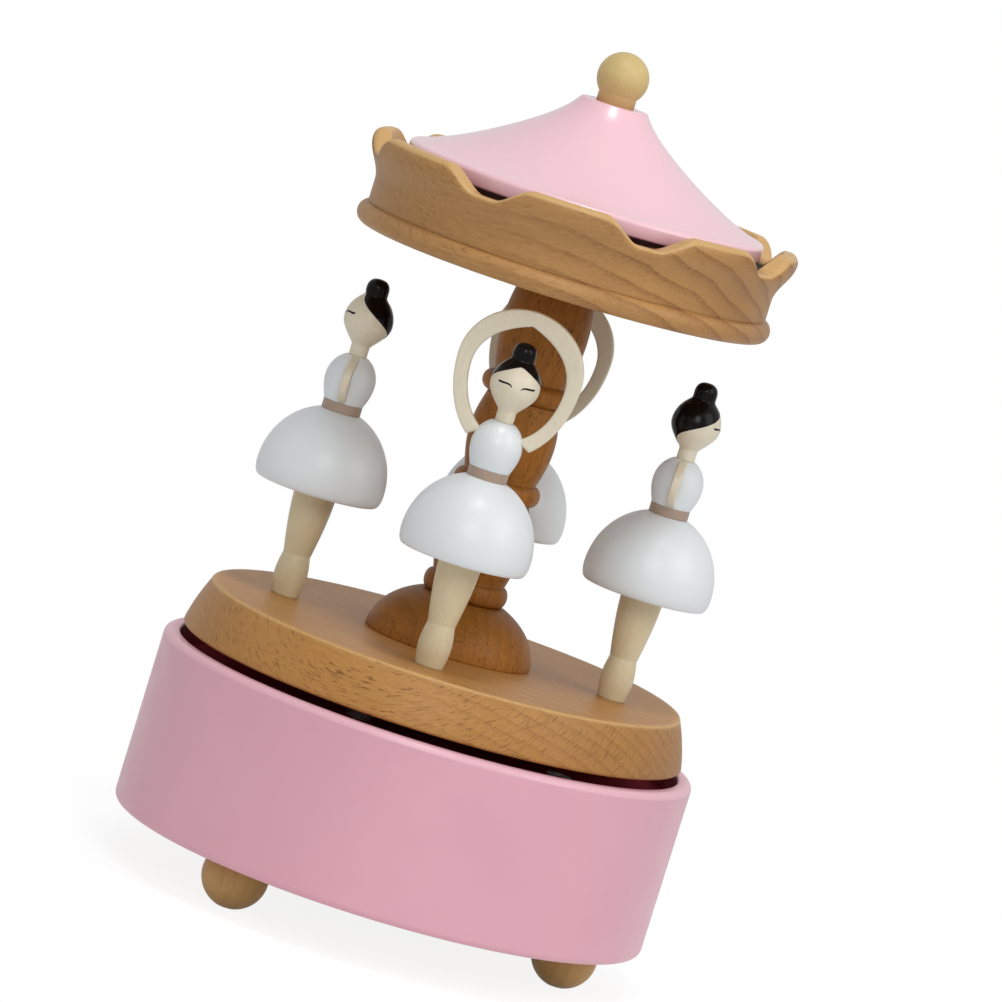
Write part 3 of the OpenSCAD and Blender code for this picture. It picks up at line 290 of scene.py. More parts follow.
def bow(centre_r, centre_z, radius, start, end, steps=8):
    """Points on a circle from one angle to another, in degrees: r = c + R cos a, z = d + R sin a."""
    angle = np.radians(np.linspace(start, end, steps + 1))
    return np.column_stack([centre_r + radius * np.cos(angle), centre_z + radius * np.sin(angle)])


def turned(outline, around=144):
    """An outline of radius and height carried round the upright axis: x = r cos a, y = r sin a."""
    angle = np.linspace(0, 2 * np.pi, around, endpoint=False)
    radius, height = outline[:, :1], outline[:, 1:]
    return np.stack([radius * np.cos(angle), radius * np.sin(angle), height + 0 * angle], axis=-1)


def dress(made, material, slot, *replaced, body="carousel"):
    """Gives a new piece its material and the body it moves with, and hides the parts it stands for."""
    made.data.materials.append(material)
    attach(made, body)
    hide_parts(*replaced)


def eased(corners, closed=False, steps=6):
    """An outline through corners, each given as radius, height and rounding. A corner becomes an arc that
    touches both its sides, worked out between the arc's two ends as a turn about its centre, with one
    more point on each side so that the flats next to it shade flat."""
    corner = np.array(corners, float)
    here, rounding = corner[:, :2], corner[:, 2:]
    back, ahead = np.roll(here, 1, axis=0) - here, np.roll(here, -1, axis=0) - here
    back, ahead = (way / np.linalg.norm(way, axis=1, keepdims=True) for way in (back, ahead))
    half = np.arccos(np.clip((back * ahead).sum(axis=1, keepdims=True), -1, 1)) / 2
    reach = rounding / np.tan(half)
    centre = here + (back + ahead) / (2 * np.cos(half)) * rounding / np.sin(half)
    start, end = here + back * reach - centre, here + ahead * reach - centre
    turn = np.pi - 2 * half
    share = np.linspace(0, 1, steps + 1)[:, None, None]
    arc = centre + (np.sin((1 - share) * turn) * start + np.sin(share * turn) * end) / np.sin(turn)
    before, after = here + back * reach * 1.5, here + ahead * reach * 1.5
    outline = np.concatenate([before[None], arc, after[None]]).transpose(1, 0, 2)
    if closed:
        return outline.reshape(-1, 2)
    return np.vstack([here[:1], outline[1:-1].reshape(-1, 2), here[-1:]])


drum_corners = [[seat_r, drum_low, 0.2], [drum_r, drum_low, drum_round], [drum_r, drum_high, drum_round],
                [recess_r, drum_high, 0.6], [recess_r, recess_z, 0.4], [bore_r, recess_z, 0.3],
                [bore_r, web_low, 0.3], [pocket_r, web_low, 0.3], [pocket_r, pocket_low, 0.3],
                [seat_r, pocket_low, 0.3]]
drum_outline = eased(drum_corners, closed=True, steps=8)
drum_edge_r, drum_edge_z = drum_outline[:, 0], drum_outline[:, 1]
rim_r, rim_z = drum_r - drum_round, drum_high - drum_round
rim_gap = np.abs(np.hypot(drum_edge_r - rim_r, drum_edge_z - rim_z) - drum_round)
rim_gap = rim_gap + np.clip(rim_r - drum_edge_r, 0, None)
# The rim's top arris is paler: wear, and a painted highlight along it.
rim_wear_and_highlight = np.clip(1 - rim_gap / rim_pale_width, 0, 1) * (drum_edge_z > rim_z)
drum_inside = drum_edge_r < recess_r + 0.1
# Painted shade: the recess floor and the bore below it darken to a matt red.
recess_painted_shade = np.clip((recess_z + recess_shade_rise - drum_edge_z) / recess_shade_fade, 0, 1) * drum_inside
drum_paint = satin_paint("base_paint", "dca3b1", "e8b5c1", "c45562")
drum = skin("pink_drum", turned(drum_outline, 256), closed=True, rubbed=(rim_wear_and_highlight - recess_painted_shade)[:, None])
dress(drum, drum_paint, "base_paint", "base_drum", body="base")

# Ball feet ---------------------------------------------------------------------------------------
# Three turned balls of beech, sanded flat where they stand and glued into the base plate by a short
# peg. Their grain runs up and down.

foot_count = 3
foot_r = 7.0
foot_flat = 0.3
foot_ring = 43.0
foot_turn = 114
foot_peg_r = 2.5
foot_peg_l = 4.5
ring_drift = 18 * mm
ring_wander = 1.2
fibre_width = 0.5 * mm
pore_width = 0.16 * mm
ray_crowd = 7 * mm
wood_patch = 16 * mm
varnish_gloss = 0.35
# The near-black brown that wood darkens to as painted shade.
painted_shade_dark = "140a06"


def lay_grain(fibre, ring_normal):
    """The fibre's direction, and the turn that lays it along x and the way out across the rings along z."""
    along = np.array(fibre, float) / np.linalg.norm(fibre)
    outward = np.array(ring_normal, float)
    outward = outward - (outward @ along) * along
    outward = outward / np.linalg.norm(outward)
    across = np.cross(outward, along)
    return along.tolist(), Matrix([along.tolist(), across.tolist(), outward.tolist()]).to_euler()


def ring_edges(tree, grain, split, fibres, ring, pith):
    """Growth rings as wide cylinders about a far pith, which drift a little. Each is darkest at its end,
    fades out over the start of the next, and is broken up by the fibres."""
    drift = noise(tree, grain, ring_drift, detail=2.0, stretch_by=(4, 1, 1))
    depth = calc(tree, "ADD", split["Z"], pith * mm)
    squares = calc(tree, "MULTIPLY_ADD", depth, depth, calc(tree, "MULTIPLY", split["Y"], split["Y"]))
    rings = calc(tree, "DIVIDE", calc(tree, "SQRT", squares), ring * mm)
    year = calc(tree, "FRACT", calc(tree, "MULTIPLY_ADD", drift, ring_wander, rings))
    edge = calc(tree, "MAXIMUM", calc(tree, "POWER", year, 3.6), stretch(tree, year, 0.0, 0.08, 1.0, 0.0))
    return calc(tree, "MULTIPLY", edge, stretch(tree, fibres, 0.3, 0.6, 0.5, 1.0))


def ray_dashes(tree, grain, normal, fleck):
    """Rays, thin plates of a length, thickness and depth, denser in some places and faint on a level top."""
    rays = noise(tree, grain, mm, detail=1.5, roughness=0.4, stretch_by=fleck)
    crowded = noise(tree, grain, ray_crowd, detail=2.0, stretch_by=(2, 1, 1))
    ray = stretch(tree, calc(tree, "MULTIPLY_ADD", crowded, 0.25, rays), 0.72, 0.82)
    upward = add(tree, "SeparateXYZ", {0: normal}).outputs["Z"]
    return calc(tree, "MULTIPLY", ray, stretch(tree, upward, 0.6, 0.95, 1.0, 0.2))


def wood(name, early, late, flecks, fibre=(0, 0, 1), ring_normal=(0.8, 0.6, 0), ring=2.6, line=0.4,
         fade=(-30, -20), fleck=(2.2, 0.15, 3.0), fleck_share=0.4, end_rays=1.0, end_tone=0.25, gloss=0.45,
         coat=0.05, shine=0.3, pith=150, wear_and_light="e0c096"):
    """Turned wood. The grain is a pattern in space that the turning cuts through, with sizes in
    millimetres: growth rings at a spacing, and rays, as dashes along the fibre and lines across end grain,
    which is darker by end_tone. From the first place of fade along the fibre to the second the ring lines
    come in and the rays fall to end_rays. Shine is the varnish's mirroring. The mesh's attribute says
    where it is paler, from 0 to 1, which is wear and a painted highlight, and where it is painted darker
    as painted shade, down to -1."""
    along, turn = lay_grain(fibre, ring_normal)
    material, tree, out = new_material(name)
    where = add(tree, "TexCoord").outputs
    grain = add(tree, "Mapping", {"Vector": where["Object"], "Rotation": turn}).outputs[0]
    split = add(tree, "SeparateXYZ", {0: grain}).outputs
    fibres = noise(tree, grain, fibre_width, detail=3.0, stretch_by=(16, 1, 1))
    pores = noise(tree, grain, pore_width, detail=1.0, stretch_by=(7, 1, 1))
    patches = noise(tree, grain, wood_patch, detail=2.0, stretch_by=(3, 1, 1))
    fade_from, fade_to = fade[0] * mm, fade[1] * mm
    edge = ring_edges(tree, grain, split, fibres, ring, pith)
    edge = calc(tree, "MULTIPLY", edge, stretch(tree, split["X"], fade_from, fade_to, 0.15, 1.0))
    ray = ray_dashes(tree, grain, where["Normal"], fleck)
    ray = calc(tree, "MULTIPLY", ray, stretch(tree, split["X"], fade_from, fade_to, 1.0, end_rays))
    facing = add(tree, "VectorMath", {0: where["Normal"], 1: along}, operation="DOT_PRODUCT").outputs["Value"]
    end_grain = calc(tree, "POWER", calc(tree, "ABSOLUTE", facing), 3.0)
    # Above 0 the wood is paler, from wear and a painted highlight; below 0 it darkens as painted shade.
    rubbed = add(tree, "Attribute", attribute_name="rubbed").outputs["Fac"]
    uneven = calc(tree, "MULTIPLY_ADD", calc(tree, "SUBTRACT", fibres, 0.5), 0.8, rubbed)
    uneven = calc(tree, "MULTIPLY", stretch(tree, uneven, 0.05, 0.95), stretch(tree, rubbed, 0.0, 0.1))
    pale = calc(tree, "MULTIPLY", uneven, stretch(tree, pores, 0.2, 0.7, 0.9, 0.6))
    tint = colour(early)
    for share, other in ((calc(tree, "MULTIPLY", edge, line), late),
                         (stretch(tree, patches, 0.3, 0.7, 0.0, 0.3), late),
                         (stretch(tree, fibres, 0.35, 0.75, 0.0, 0.3), late),
                         (stretch(tree, pores, 0.35, 0.75, 0.0, 0.16), late),
                         (calc(tree, "MULTIPLY", end_grain, end_tone), flecks),
                         (calc(tree, "MULTIPLY", ray, fleck_share), flecks),
                         (pale, wear_and_light),
                         (stretch(tree, rubbed, 0.0, -1.0), painted_shade_dark)):
        tint = blend(tree, share, tint, colour(other))
    relief = calc(tree, "SUBTRACT", calc(tree, "MULTIPLY", pores, 0.4), calc(tree, "MULTIPLY", ray, 0.6))
    bump = add(tree, "Bump", {"Height": relief, "Strength": 0.12, "Distance": 0.08 * mm}).outputs[0]
    sheen = stretch(tree, pores, 0.3, 0.7, gloss - 0.06, gloss + 0.08)
    return surface(material, tree, out, Base_Color=tint, Roughness=sheen, Normal=bump, Coat_Weight=coat,
                   Coat_Roughness=varnish_gloss, Specular_IOR_Level=shine)


def foot_outline():
    """A ball from its sanded flat up to the plate, and the peg above it."""
    middle = foot_r - foot_flat
    low, high = (np.degrees(np.arcsin((z - middle) / foot_r)) for z in (0, drum_low))
    peg = [[foot_peg_r, drum_low + 0.1], [foot_peg_r, drum_low + foot_peg_l]]
    return np.vstack([[[1.0, 0.0]], bow(0, middle, foot_r, low, high, 40), peg])


feet_wood = wood("feet_wood", "cca76d", "ad884d", "6a4a22", fleck_share=0.15)
for number in range(foot_count):
    turn = np.radians(foot_turn + 360 / foot_count * number)
    ball = turned(foot_outline(), 96) + foot_ring * np.array([np.cos(turn), np.sin(turn), 0])
    dress(skin(f"ball_foot_{number + 1}", ball), feet_wood, "feet_wood", f"foot_{number + 1}", body="base")

# Base plate --------------------------------------------------------------------------------------
# A disc of plywood that closes the drum from below, held by three screws, its plies showing at the
# cut edge.

ply = 1.2 * mm


def finish_node(material, *names):
    """Gives CAD nodes their material."""
    for name in names:
        slots = nodes[name].data.materials
        slots.clear()
        slots.append(material)


def plywood():
    """Birch plywood: plies stacked upwards, every other one darker because its fibre is turned."""
    material, tree, out = new_material("plywood")
    place = add(tree, "TexCoord").outputs["Object"]
    height = add(tree, "SeparateXYZ", {0: place}).outputs["Z"]
    share = calc(tree, "FRACT", calc(tree, "DIVIDE", height, 2 * ply))
    darker = calc(tree, "GREATER_THAN", share, 0.5)
    along = noise(tree, place, 0.5 * mm, detail=3.0, stretch_by=(14, 1, 1))
    tint = blend(tree, calc(tree, "MULTIPLY_ADD", darker, 0.4, calc(tree, "MULTIPLY", along, 0.6)),
                 colour("dcc49a"), colour("a9854f"))
    bump = add(tree, "Bump", {"Height": along, "Strength": 0.2, "Distance": 0.1 * mm}).outputs[0]
    sheen = stretch(tree, along, 0.2, 0.8, 0.5, 0.7)
    return surface(material, tree, out, Base_Color=tint, Roughness=sheen, Normal=bump)


finish_node(plywood(), "base_plate")

# Movement ----------------------------------------------------------------------------------------
# Eighteen-note movement: a zinc bedplate with its castings, a nickelled spring housing, hardened
# comb and spring, brass cylinder and wheels, steel arbors and screws, and nylon wheel and fan.


def metal(name, bright, dull, gloss, rough_span=0.12, cast=0.0):
    """Metal whose colour and gloss drift over its surface, with fine drawn lines, or the dimpled skin
    of a casting where cast is more than 0."""
    material, tree, out = new_material(name)
    place = add(tree, "TexCoord").outputs["Object"]
    lines = noise(tree, place, 0.4 * mm, detail=2.0, stretch_by=(12, 12, 1))
    stain = noise(tree, place, 5 * mm, detail=3.0)
    dimples = noise(tree, place, 0.5 * mm, detail=2.0)
    relief = calc(tree, "MULTIPLY_ADD", dimples, cast, calc(tree, "MULTIPLY", lines, 1.0 - cast))
    bump = add(tree, "Bump", {"Height": relief, "Strength": 0.15, "Distance": 0.06 * mm}).outputs[0]
    tint = blend(tree, stretch(tree, stain, 0.3, 0.7), colour(bright), colour(dull))
    sheen = stretch(tree, lines, 0.3, 0.7, gloss, gloss + rough_span)
    return surface(material, tree, out, Base_Color=tint, Metallic=1.0, Roughness=sheen, Normal=bump)


def nylon():
    """Moulded nylon: milky, with a slight cloud in the colour and a fine moulded skin."""
    material, tree, out = new_material("nylon")
    place = add(tree, "TexCoord").outputs["Object"]
    cloud = noise(tree, place, 3 * mm)
    relief = noise(tree, place, 0.3 * mm)
    bump = add(tree, "Bump", {"Height": relief, "Strength": 0.1, "Distance": 0.03 * mm}).outputs[0]
    tint = blend(tree, cloud, colour("efece0"), colour("dcd7c4"))
    sheen = stretch(tree, relief, 0.3, 0.7, 0.4, 0.5)
    return surface(material, tree, out, Base_Color=tint, Roughness=sheen, Normal=bump)


steel = metal("plated_steel", "c8c9cc", "a7a8ab", 0.25)
zinc = metal("zinc_casting", "a3a4a6", "86878a", 0.45, cast=0.8)
finish_node(zinc, "bedplate", "governor_bracket", "drive_hub")
finish_node(metal("nickel", "d5d2ca", "bab7b0", 0.16, rough_span=0.06), "spring_housing")
finish_node(metal("spring_steel", "8f949b", "6f757e", 0.28), "mainspring", "comb")
finish_node(metal("brass", "d9b465", "b98f43", 0.24), "cylinder", "cylinder_gear", "great_wheel")
finish_node(steel, "base_plate_screws", "movement_screws", "housing_screws", "comb_screws", "bracket_screws",
            "drive_shaft", "hub_screws", "column_screw", "crown_screw", "cylinder_arbor", "transfer_arbor",
            "governor_worm")
finish_node(nylon(), "worm_wheel", "governor_fan")

# Turntable ---------------------------------------------------------------------------------------
# A disc of beech turned with a sloping edge, clear satin varnish. Its fibre runs level, so long grain
# with short rays faces the front left and end grain with slanting growth lines faces the front right.

beech_fibre = (0.97, -0.24, 0)
beech_rings = (0.17, 0.69, 0.71)
deck_low = 49.6
deck_high = 60.4
deck_radius = 54.2
deck_slope = 3.1
deck_bulge = 0.3
deck_round = 0.7
arris_in = 0.3
arris_pale_width = 0.65


def deck_outline():
    """From the middle of the underside out, up the sloping edge, which bulges as 4 t (1 - t), and back
    over a rounded arris to the middle of the top."""
    climb = np.linspace(0, 1, 17)[1:-1, None]
    edge_r = deck_radius - deck_slope * climb + 4 * deck_bulge * climb * (1 - climb)
    edge_z = deck_low + deck_round + (deck_high - deck_low - 2 * deck_round) * climb
    under = np.column_stack([[9.0, 30.0, 52.0], [deck_low] * 3])
    top = np.column_stack([[49.0, 40.0, 25.0, 12.0], [deck_high] * 4])
    low_round = bow(deck_radius - deck_round, deck_low + deck_round, deck_round, -90, 0)
    high_round = bow(deck_radius - deck_slope - deck_round, deck_high - deck_round, deck_round, 0, 90)
    return np.vstack([under, low_round, np.hstack([edge_r, edge_z]), high_round, top])


deck_edge = deck_outline()
# The top arris is paler: wear, and a painted highlight along it.
arris_r, arris_z = deck_radius - deck_slope - arris_in, deck_high - arris_in
arris_gap = np.hypot(deck_edge[:, 0] - arris_r, deck_edge[:, 1] - arris_z)
arris_wear_and_highlight = np.clip(1.0 - arris_gap / arris_pale_width, 0, 1)[:, None]
beech = wood("turntable_beech", "c08c4c", "94622c", "5e3212", fibre=beech_fibre, ring_normal=beech_rings,
             fade=(0, 30), line=0.6, fleck_share=0.6, wear_and_light="dcb478")
dress(skin("turntable_disc", turned(deck_edge, 192), rubbed=arris_wear_and_highlight), beech, "beech", "turntable")

# Column and its foot -----------------------------------------------------------------------------
# Brown stained wood turned between centres: a half ball, then a shaft with three beads and soft
# swells between them. The fibre runs upwards.

dome_r = 17.9
dome_rise = 12.5
column_low = 71.2
column_high = 140.5
column_neck = 7.7
bead_h = 4.3
swell_r = 9.2
bead_radii = (9.0, 9.3, 9.6)
bead_levels = (71.2, 93.4, 114.7)
tenon_r = 5.0
tenon_l = 7.0


def dome_outline():
    """A quarter oval from the deck up to the column's first bead, over a bore for its tenon."""
    angle = np.linspace(0, np.arccos(bead_radii[0] / dome_r), 40)[:, None]
    side = np.hstack([dome_r * np.cos(angle), deck_high + dome_rise * np.sin(angle)])
    return np.vstack([[[tenon_r, deck_high], [dome_r - 0.3, deck_high]], side, [[tenon_r, side[-1, 1]]]])


def bead(low, high, neck, widest, steps=28):
    """Half an oval between two levels: the radius grows with sin a while the height runs with cos a."""
    angle = np.linspace(0, np.pi, steps + 1)
    height = low + (high - low) * (1 - np.cos(angle)) / 2
    return np.column_stack([neck + (widest - neck) * np.sin(angle), height])


def swell(low, high, neck, widest, steps=36):
    """A gentle swell between two necks, the radius growing with sin of the share of the height."""
    share = np.linspace(0, 1, steps + 1)
    return np.column_stack([neck + (widest - neck) * np.sin(np.pi * share), low + (high - low) * share])


def column_outline():
    """Tenon, then a bead and a swell three times over, and the upper tenon."""
    stages = []
    for low, end, widest in zip(bead_levels, bead_levels[1:] + (column_high,), bead_radii):
        stages.append(bead(low, low + bead_h, column_neck, widest))
        stages.append(swell(low + bead_h, end, column_neck, swell_r))
    return np.vstack([[[tenon_r, column_low - tenon_l], [tenon_r, column_low]], *stages,
                      [[tenon_r, column_high], [tenon_r, column_high + tenon_l]]])


stained = wood("column_wood", "ad702c", "7f4d18", "3a2410", ring=3.0, line=0.45, fleck=(2.4, 0.3, 0.3),
               fleck_share=0.6, coat=0.0, shine=0.2, pith=60)
dress(skin("column_dome", turned(dome_outline())), stained, "dark_wood", "column_foot")
dress(skin("turned_column", turned(column_outline())), stained, "dark_wood", "column")

# Dancers -----------------------------------------------------------------------------------------
# Four figures turned in maple and glued together on a peg: legs, skirt, belt, bodice, and a head with
# its bun, painted with black hair and closed eyes. The arms are sawn from thin board, as a ring over
# the head or lowered beside the body.

dancers = ("front", "right", "rear", "left")
dancer_ring = 35.8
leg_low_r = 2.9
shoe_r = 3.5
shoe_h = 8.8
thigh_r = 4.5
skirt_low = 23.0
skirt_rim = 3.0
skirt_lip = 1.0
skirt_r = 13.8
belt_low = 40.2
belt_r = 4.2
waist_z = 42.3
bodice_r = 5.35
bodice_wide = 4.7
bodice_top_r = 2.41
throat_z = 52.3
throat_r = 1.95
head_low = 54.7
head_wide_z = 59.9
head_r = 5.15
head_rise = 5.8
bun_r = 2.35
bun_low = 66.7
bun_top = 69.1
neck_power = 1.1
bun_power = 2.4
join_power = 5
row_crowding = 1.6
hair_front = (64.9, 64.4, 64.9, 67.2)
hair_nape = (56.6, 55.1, 56.6, 57.0)
hair_soft = 0.25
face_turn = 9.0
hair_coat = 0.09
hair_root = 0.3
lash_inner = 0.9
lash_outer = 3.9
lash_z = (59.95, 60.0, 60.0, 60.45)
lash_rise = 0.7
lash_fall = 0.15
lash_flick = 0.15
lash_w = 0.23
lash_coat = 0.05
arm_half_t = 1.15
lowered_half_t = 0.9
raised_z = 63.5
raised_half = 13.1
raised_rise = 12.3
raised_drop = 18.2
raised_w = 3.1
raised_outer_root = -59
raised_inner_root = -68
raised_inner_drop = 13.4
raised_inner_fall = 1.4
raised_point = 1.4
lowered_root = 2.6
lowered_half = 9.2
lowered_w = 2.6
lowered_end_w = 1.4


def at_dancer(number, points):
    """Puts points of a dancer who faces -Y on the deck: out to the ring, then round by quarter turns."""
    turn = np.pi / 2 * number
    x, y, z = points[..., 0], points[..., 1] - dancer_ring, points[..., 2] + deck_high
    return np.stack([x * np.cos(turn) - y * np.sin(turn), x * np.sin(turn) + y * np.cos(turn), z], axis=-1)


def legs_outline():
    """A foot that swells from the deck and back to the ankle, and the legs widening with sin to the skirt."""
    share = np.linspace(0, 1, 40)
    legs = np.column_stack([leg_low_r + (thigh_r - leg_low_r) * np.sin(np.pi / 2 * share),
                            shoe_h + (skirt_low + 0.5 - shoe_h) * share])
    return np.vstack([[[1.5, 0.0]], [[leg_low_r - 0.2, 0.0]], swell(0, shoe_h, leg_low_r, shoe_r), legs,
                      [[1.5, skirt_low + 0.5]]])


def skirt_outline():
    """Half an egg: a flat underside, a rim rounded as a tall narrow oval, and a dome up to the belt."""
    wide = skirt_low + skirt_rim
    dome = (belt_low - wide) / np.sqrt(1 - (belt_r / skirt_r) ** 2)
    rim = np.radians(np.linspace(-90, 0, 20))
    over = np.linspace(0, np.arccos(belt_r / skirt_r), 60)[1:]
    lip_r = skirt_r - skirt_lip
    return np.vstack([[[4.0, skirt_low], [8.0, skirt_low], [lip_r - 0.4, skirt_low]],
                      np.column_stack([lip_r + skirt_lip * np.cos(rim), wide + skirt_rim * np.sin(rim)]),
                      np.column_stack([skirt_r * np.cos(over), wide + dome * np.sin(over)]),
                      [[belt_r - 1, belt_low]]])


def bodice_outline():
    """The radius grows with sin from the waist to the widest place, then closes as an oval to the neck."""
    share = np.linspace(0, 1, 28)
    over = np.linspace(0, np.arccos(bodice_top_r / bodice_r), 36)[1:]
    wide = waist_z + bodice_wide
    rise = (throat_z - wide) / np.sin(over[-1])
    lower_r = belt_r + (bodice_r - belt_r) * np.sin(np.pi / 2 * share)
    return np.vstack([[[1.5, waist_z]], np.column_stack([lower_r, waist_z + bodice_wide * share]),
                      np.column_stack([bodice_r * np.cos(over), wide + rise * np.sin(over)]),
                      [[1.5, throat_z]]])


def head_radius(z):
    """The head's radius at a height: a neck that swells as a cosine to the widest place, an oval above
    it, and the bun, a short rod with a domed top, run together by the root of a high power of both."""
    low = np.clip((head_wide_z - z) / (head_wide_z - head_low), 0, 1)
    below = throat_r + (head_r - throat_r) * np.cos(np.pi / 2 * low) ** neck_power
    above = head_r * np.sqrt(np.clip(1 - ((z - head_wide_z) / head_rise) ** 2, 0, 1))
    head = np.where(z < head_wide_z, below, above)
    dome = np.clip((z - bun_low) / (bun_top - bun_low), 0, 1)
    bun = np.where(z < head_wide_z, 0, bun_r * (1 - dome ** bun_power) ** (1 / bun_power))
    return (head ** join_power + bun ** join_power) ** (1 / join_power)


def round_face(z, angle, lift=0.0):
    """Points of the head at heights z and at angles from the middle of the face, lifted off it."""
    radius = head_radius(z) + lift
    return np.stack([radius * np.sin(angle), -radius * np.cos(angle), z], axis=-1)


def head_rings(around=96, rows=80):
    """The bare head from throat to bun, its heights drawn together towards the domed top."""
    angle = np.linspace(0, 2 * np.pi, around, endpoint=False)
    height = bun_top - (bun_top - throat_z) * (1 - np.linspace(0, 1, rows)) ** row_crowding
    return round_face(np.repeat(height[:, None], around, axis=1), angle[None] + 0 * height[:, None])


def hair_rings(front, nape, around=144, rows=70):
    """The painted hair: a coat from a line up to the top. The line is rounded over the brow and falls
    evenly to the nape. The head is glued on a little turned, and its hair and lashes with it."""
    angle = np.linspace(-np.pi, np.pi, around, endpoint=False)[None]
    line = nape + (front - nape) * (1 - np.hypot(angle, hair_soft) / np.hypot(np.pi, hair_soft))
    rise = (1 - (1 - np.linspace(0, 1, rows)) ** row_crowding)[:, None]
    coat = hair_coat * np.sqrt(np.clip(rise / 0.02, 0, 1)) - hair_root * (rise == 0)
    return round_face(line + (bun_top - line) * rise, angle + np.radians(face_turn) + 0 * rise, coat)


def lash_rings(sign, height, along=40, around=12):
    """One closed eye: a line of paint that rises fast from its inner end, falls a little and flicks up at
    the outer end, where it is thickest. It is an oval in section."""
    t = np.linspace(0, 1, along)[:, None]
    section = np.linspace(0, 2 * np.pi, around, endpoint=False)[None]
    half = lash_w * (0.7 + 0.3 * t) * np.clip(np.sin(np.pi * t) * 5, 0.2, 1)
    level = height + lash_rise * (1 - (1 - t) ** 7) - lash_fall * t + lash_flick * t ** 8
    x = lash_inner + (lash_outer - lash_inner) * t + 0 * section
    angle = np.radians(face_turn) + sign * np.arcsin(x / head_radius(level))
    return round_face(level + half * np.cos(section) * -sign, angle, lash_coat * np.sin(section))


def soft_slab(inner, outer, half_t=arm_half_t, corner=6.0, around=32):
    """A flat strip between two edges, inner and outer, given as x and z point by point. Its section is a
    rectangle with soft corners: cos and sin of an angle, each to the power of 2 / corner."""
    section = np.linspace(0, 2 * np.pi, around, endpoint=False)
    across = np.sign(np.cos(section)) * np.abs(np.cos(section)) ** (2 / corner)
    through = np.sign(np.sin(section)) * np.abs(np.sin(section)) ** (2 / corner)
    middle, half = (inner + outer) / 2, (outer - inner) / 2
    x = middle[:, :1] + half[:, :1] * across
    z = middle[:, 1:] + half[:, 1:] * across
    return np.stack([x, half_t * through + 0 * x, z], axis=-1)


def raised_arms(steps=60):
    """Both arms as one strip from shoulder to shoulder over the head: outside an oval, inside a narrower
    one that comes to a point over the head, its height raised by the fourth power of the angle."""
    t = np.linspace(-1, 1, 2 * steps + 1)
    side, climb = np.where(t < 0, -1.0, 1.0), 1 - np.abs(t)
    outer_a = np.radians(raised_outer_root + (90 - raised_outer_root) * climb)
    inner_a = np.radians(raised_inner_root + (90 - raised_inner_root) * climb)
    outer_b = np.where(outer_a > 0, raised_rise, raised_drop)
    inner_b = np.where(inner_a > 0, raised_rise - raised_w, raised_inner_drop)
    point = raised_point * np.clip(inner_a / (np.pi / 2), 0, 1) ** 4
    outer = np.column_stack([side * raised_half * np.cos(outer_a), raised_z + outer_b * np.sin(outer_a)])
    inner = np.column_stack([side * (raised_half - raised_w) * np.cos(inner_a),
                             raised_z - raised_inner_fall + inner_b * np.sin(inner_a) + point])
    return {"arm_ring": soft_slab(inner, outer)}


def lowered_arms(steps=40):
    """Two arms, each half an oval strip from the shoulder out and back to the waist."""
    angle = np.radians(np.linspace(-90, 90, steps + 1))
    middle, half = (throat_z + waist_z) / 2, (throat_z - waist_z) / 2
    bulge = lowered_half - lowered_root
    outer = np.column_stack([lowered_root + bulge * np.cos(angle), middle + half * np.sin(angle)])
    inner = np.column_stack([lowered_root + (bulge - lowered_w) * np.cos(angle),
                             middle + (half - lowered_end_w) * np.sin(angle)])
    mirror = np.array([-1, 1])
    return {"left_arm": soft_slab(inner, outer, lowered_half_t),
            "right_arm": soft_slab(outer * mirror, inner * mirror, lowered_half_t)}


def gloss_black():
    """Thick black gloss paint: nearly black brown, with soft brush waves in its coat."""
    material, tree, out = new_material("hair_paint")
    place = add(tree, "TexCoord").outputs["Object"]
    waves = noise(tree, place, 0.8 * mm, detail=2.0, stretch_by=(1, 1, 3))
    tint = blend(tree, stretch(tree, waves, 0.3, 0.7), colour("0a0606"), colour("120c0b"))
    bump = add(tree, "Bump", {"Height": waves, "Strength": 0.25, "Distance": 0.08 * mm}).outputs[0]
    sheen = stretch(tree, waves, 0.3, 0.7, 0.16, 0.24)
    return surface(material, tree, out, Base_Color=tint, Roughness=sheen, Normal=bump,
                   Specular_IOR_Level=0.14)


def plain_maple(name, early, late, flecks):
    """Maple: a close, pale wood with faint rings and few short rays, under a thin clear varnish."""
    return wood(name, early, late, flecks, ring=2.5, line=0.12, fleck=(1.2, 0.15, 2.0), fleck_share=0.15,
                end_tone=0.0, gloss=0.38, coat=0.12, shine=0.4)


maple = plain_maple("maple", "e6ddc8", "d8ccb0", "b39f7a")
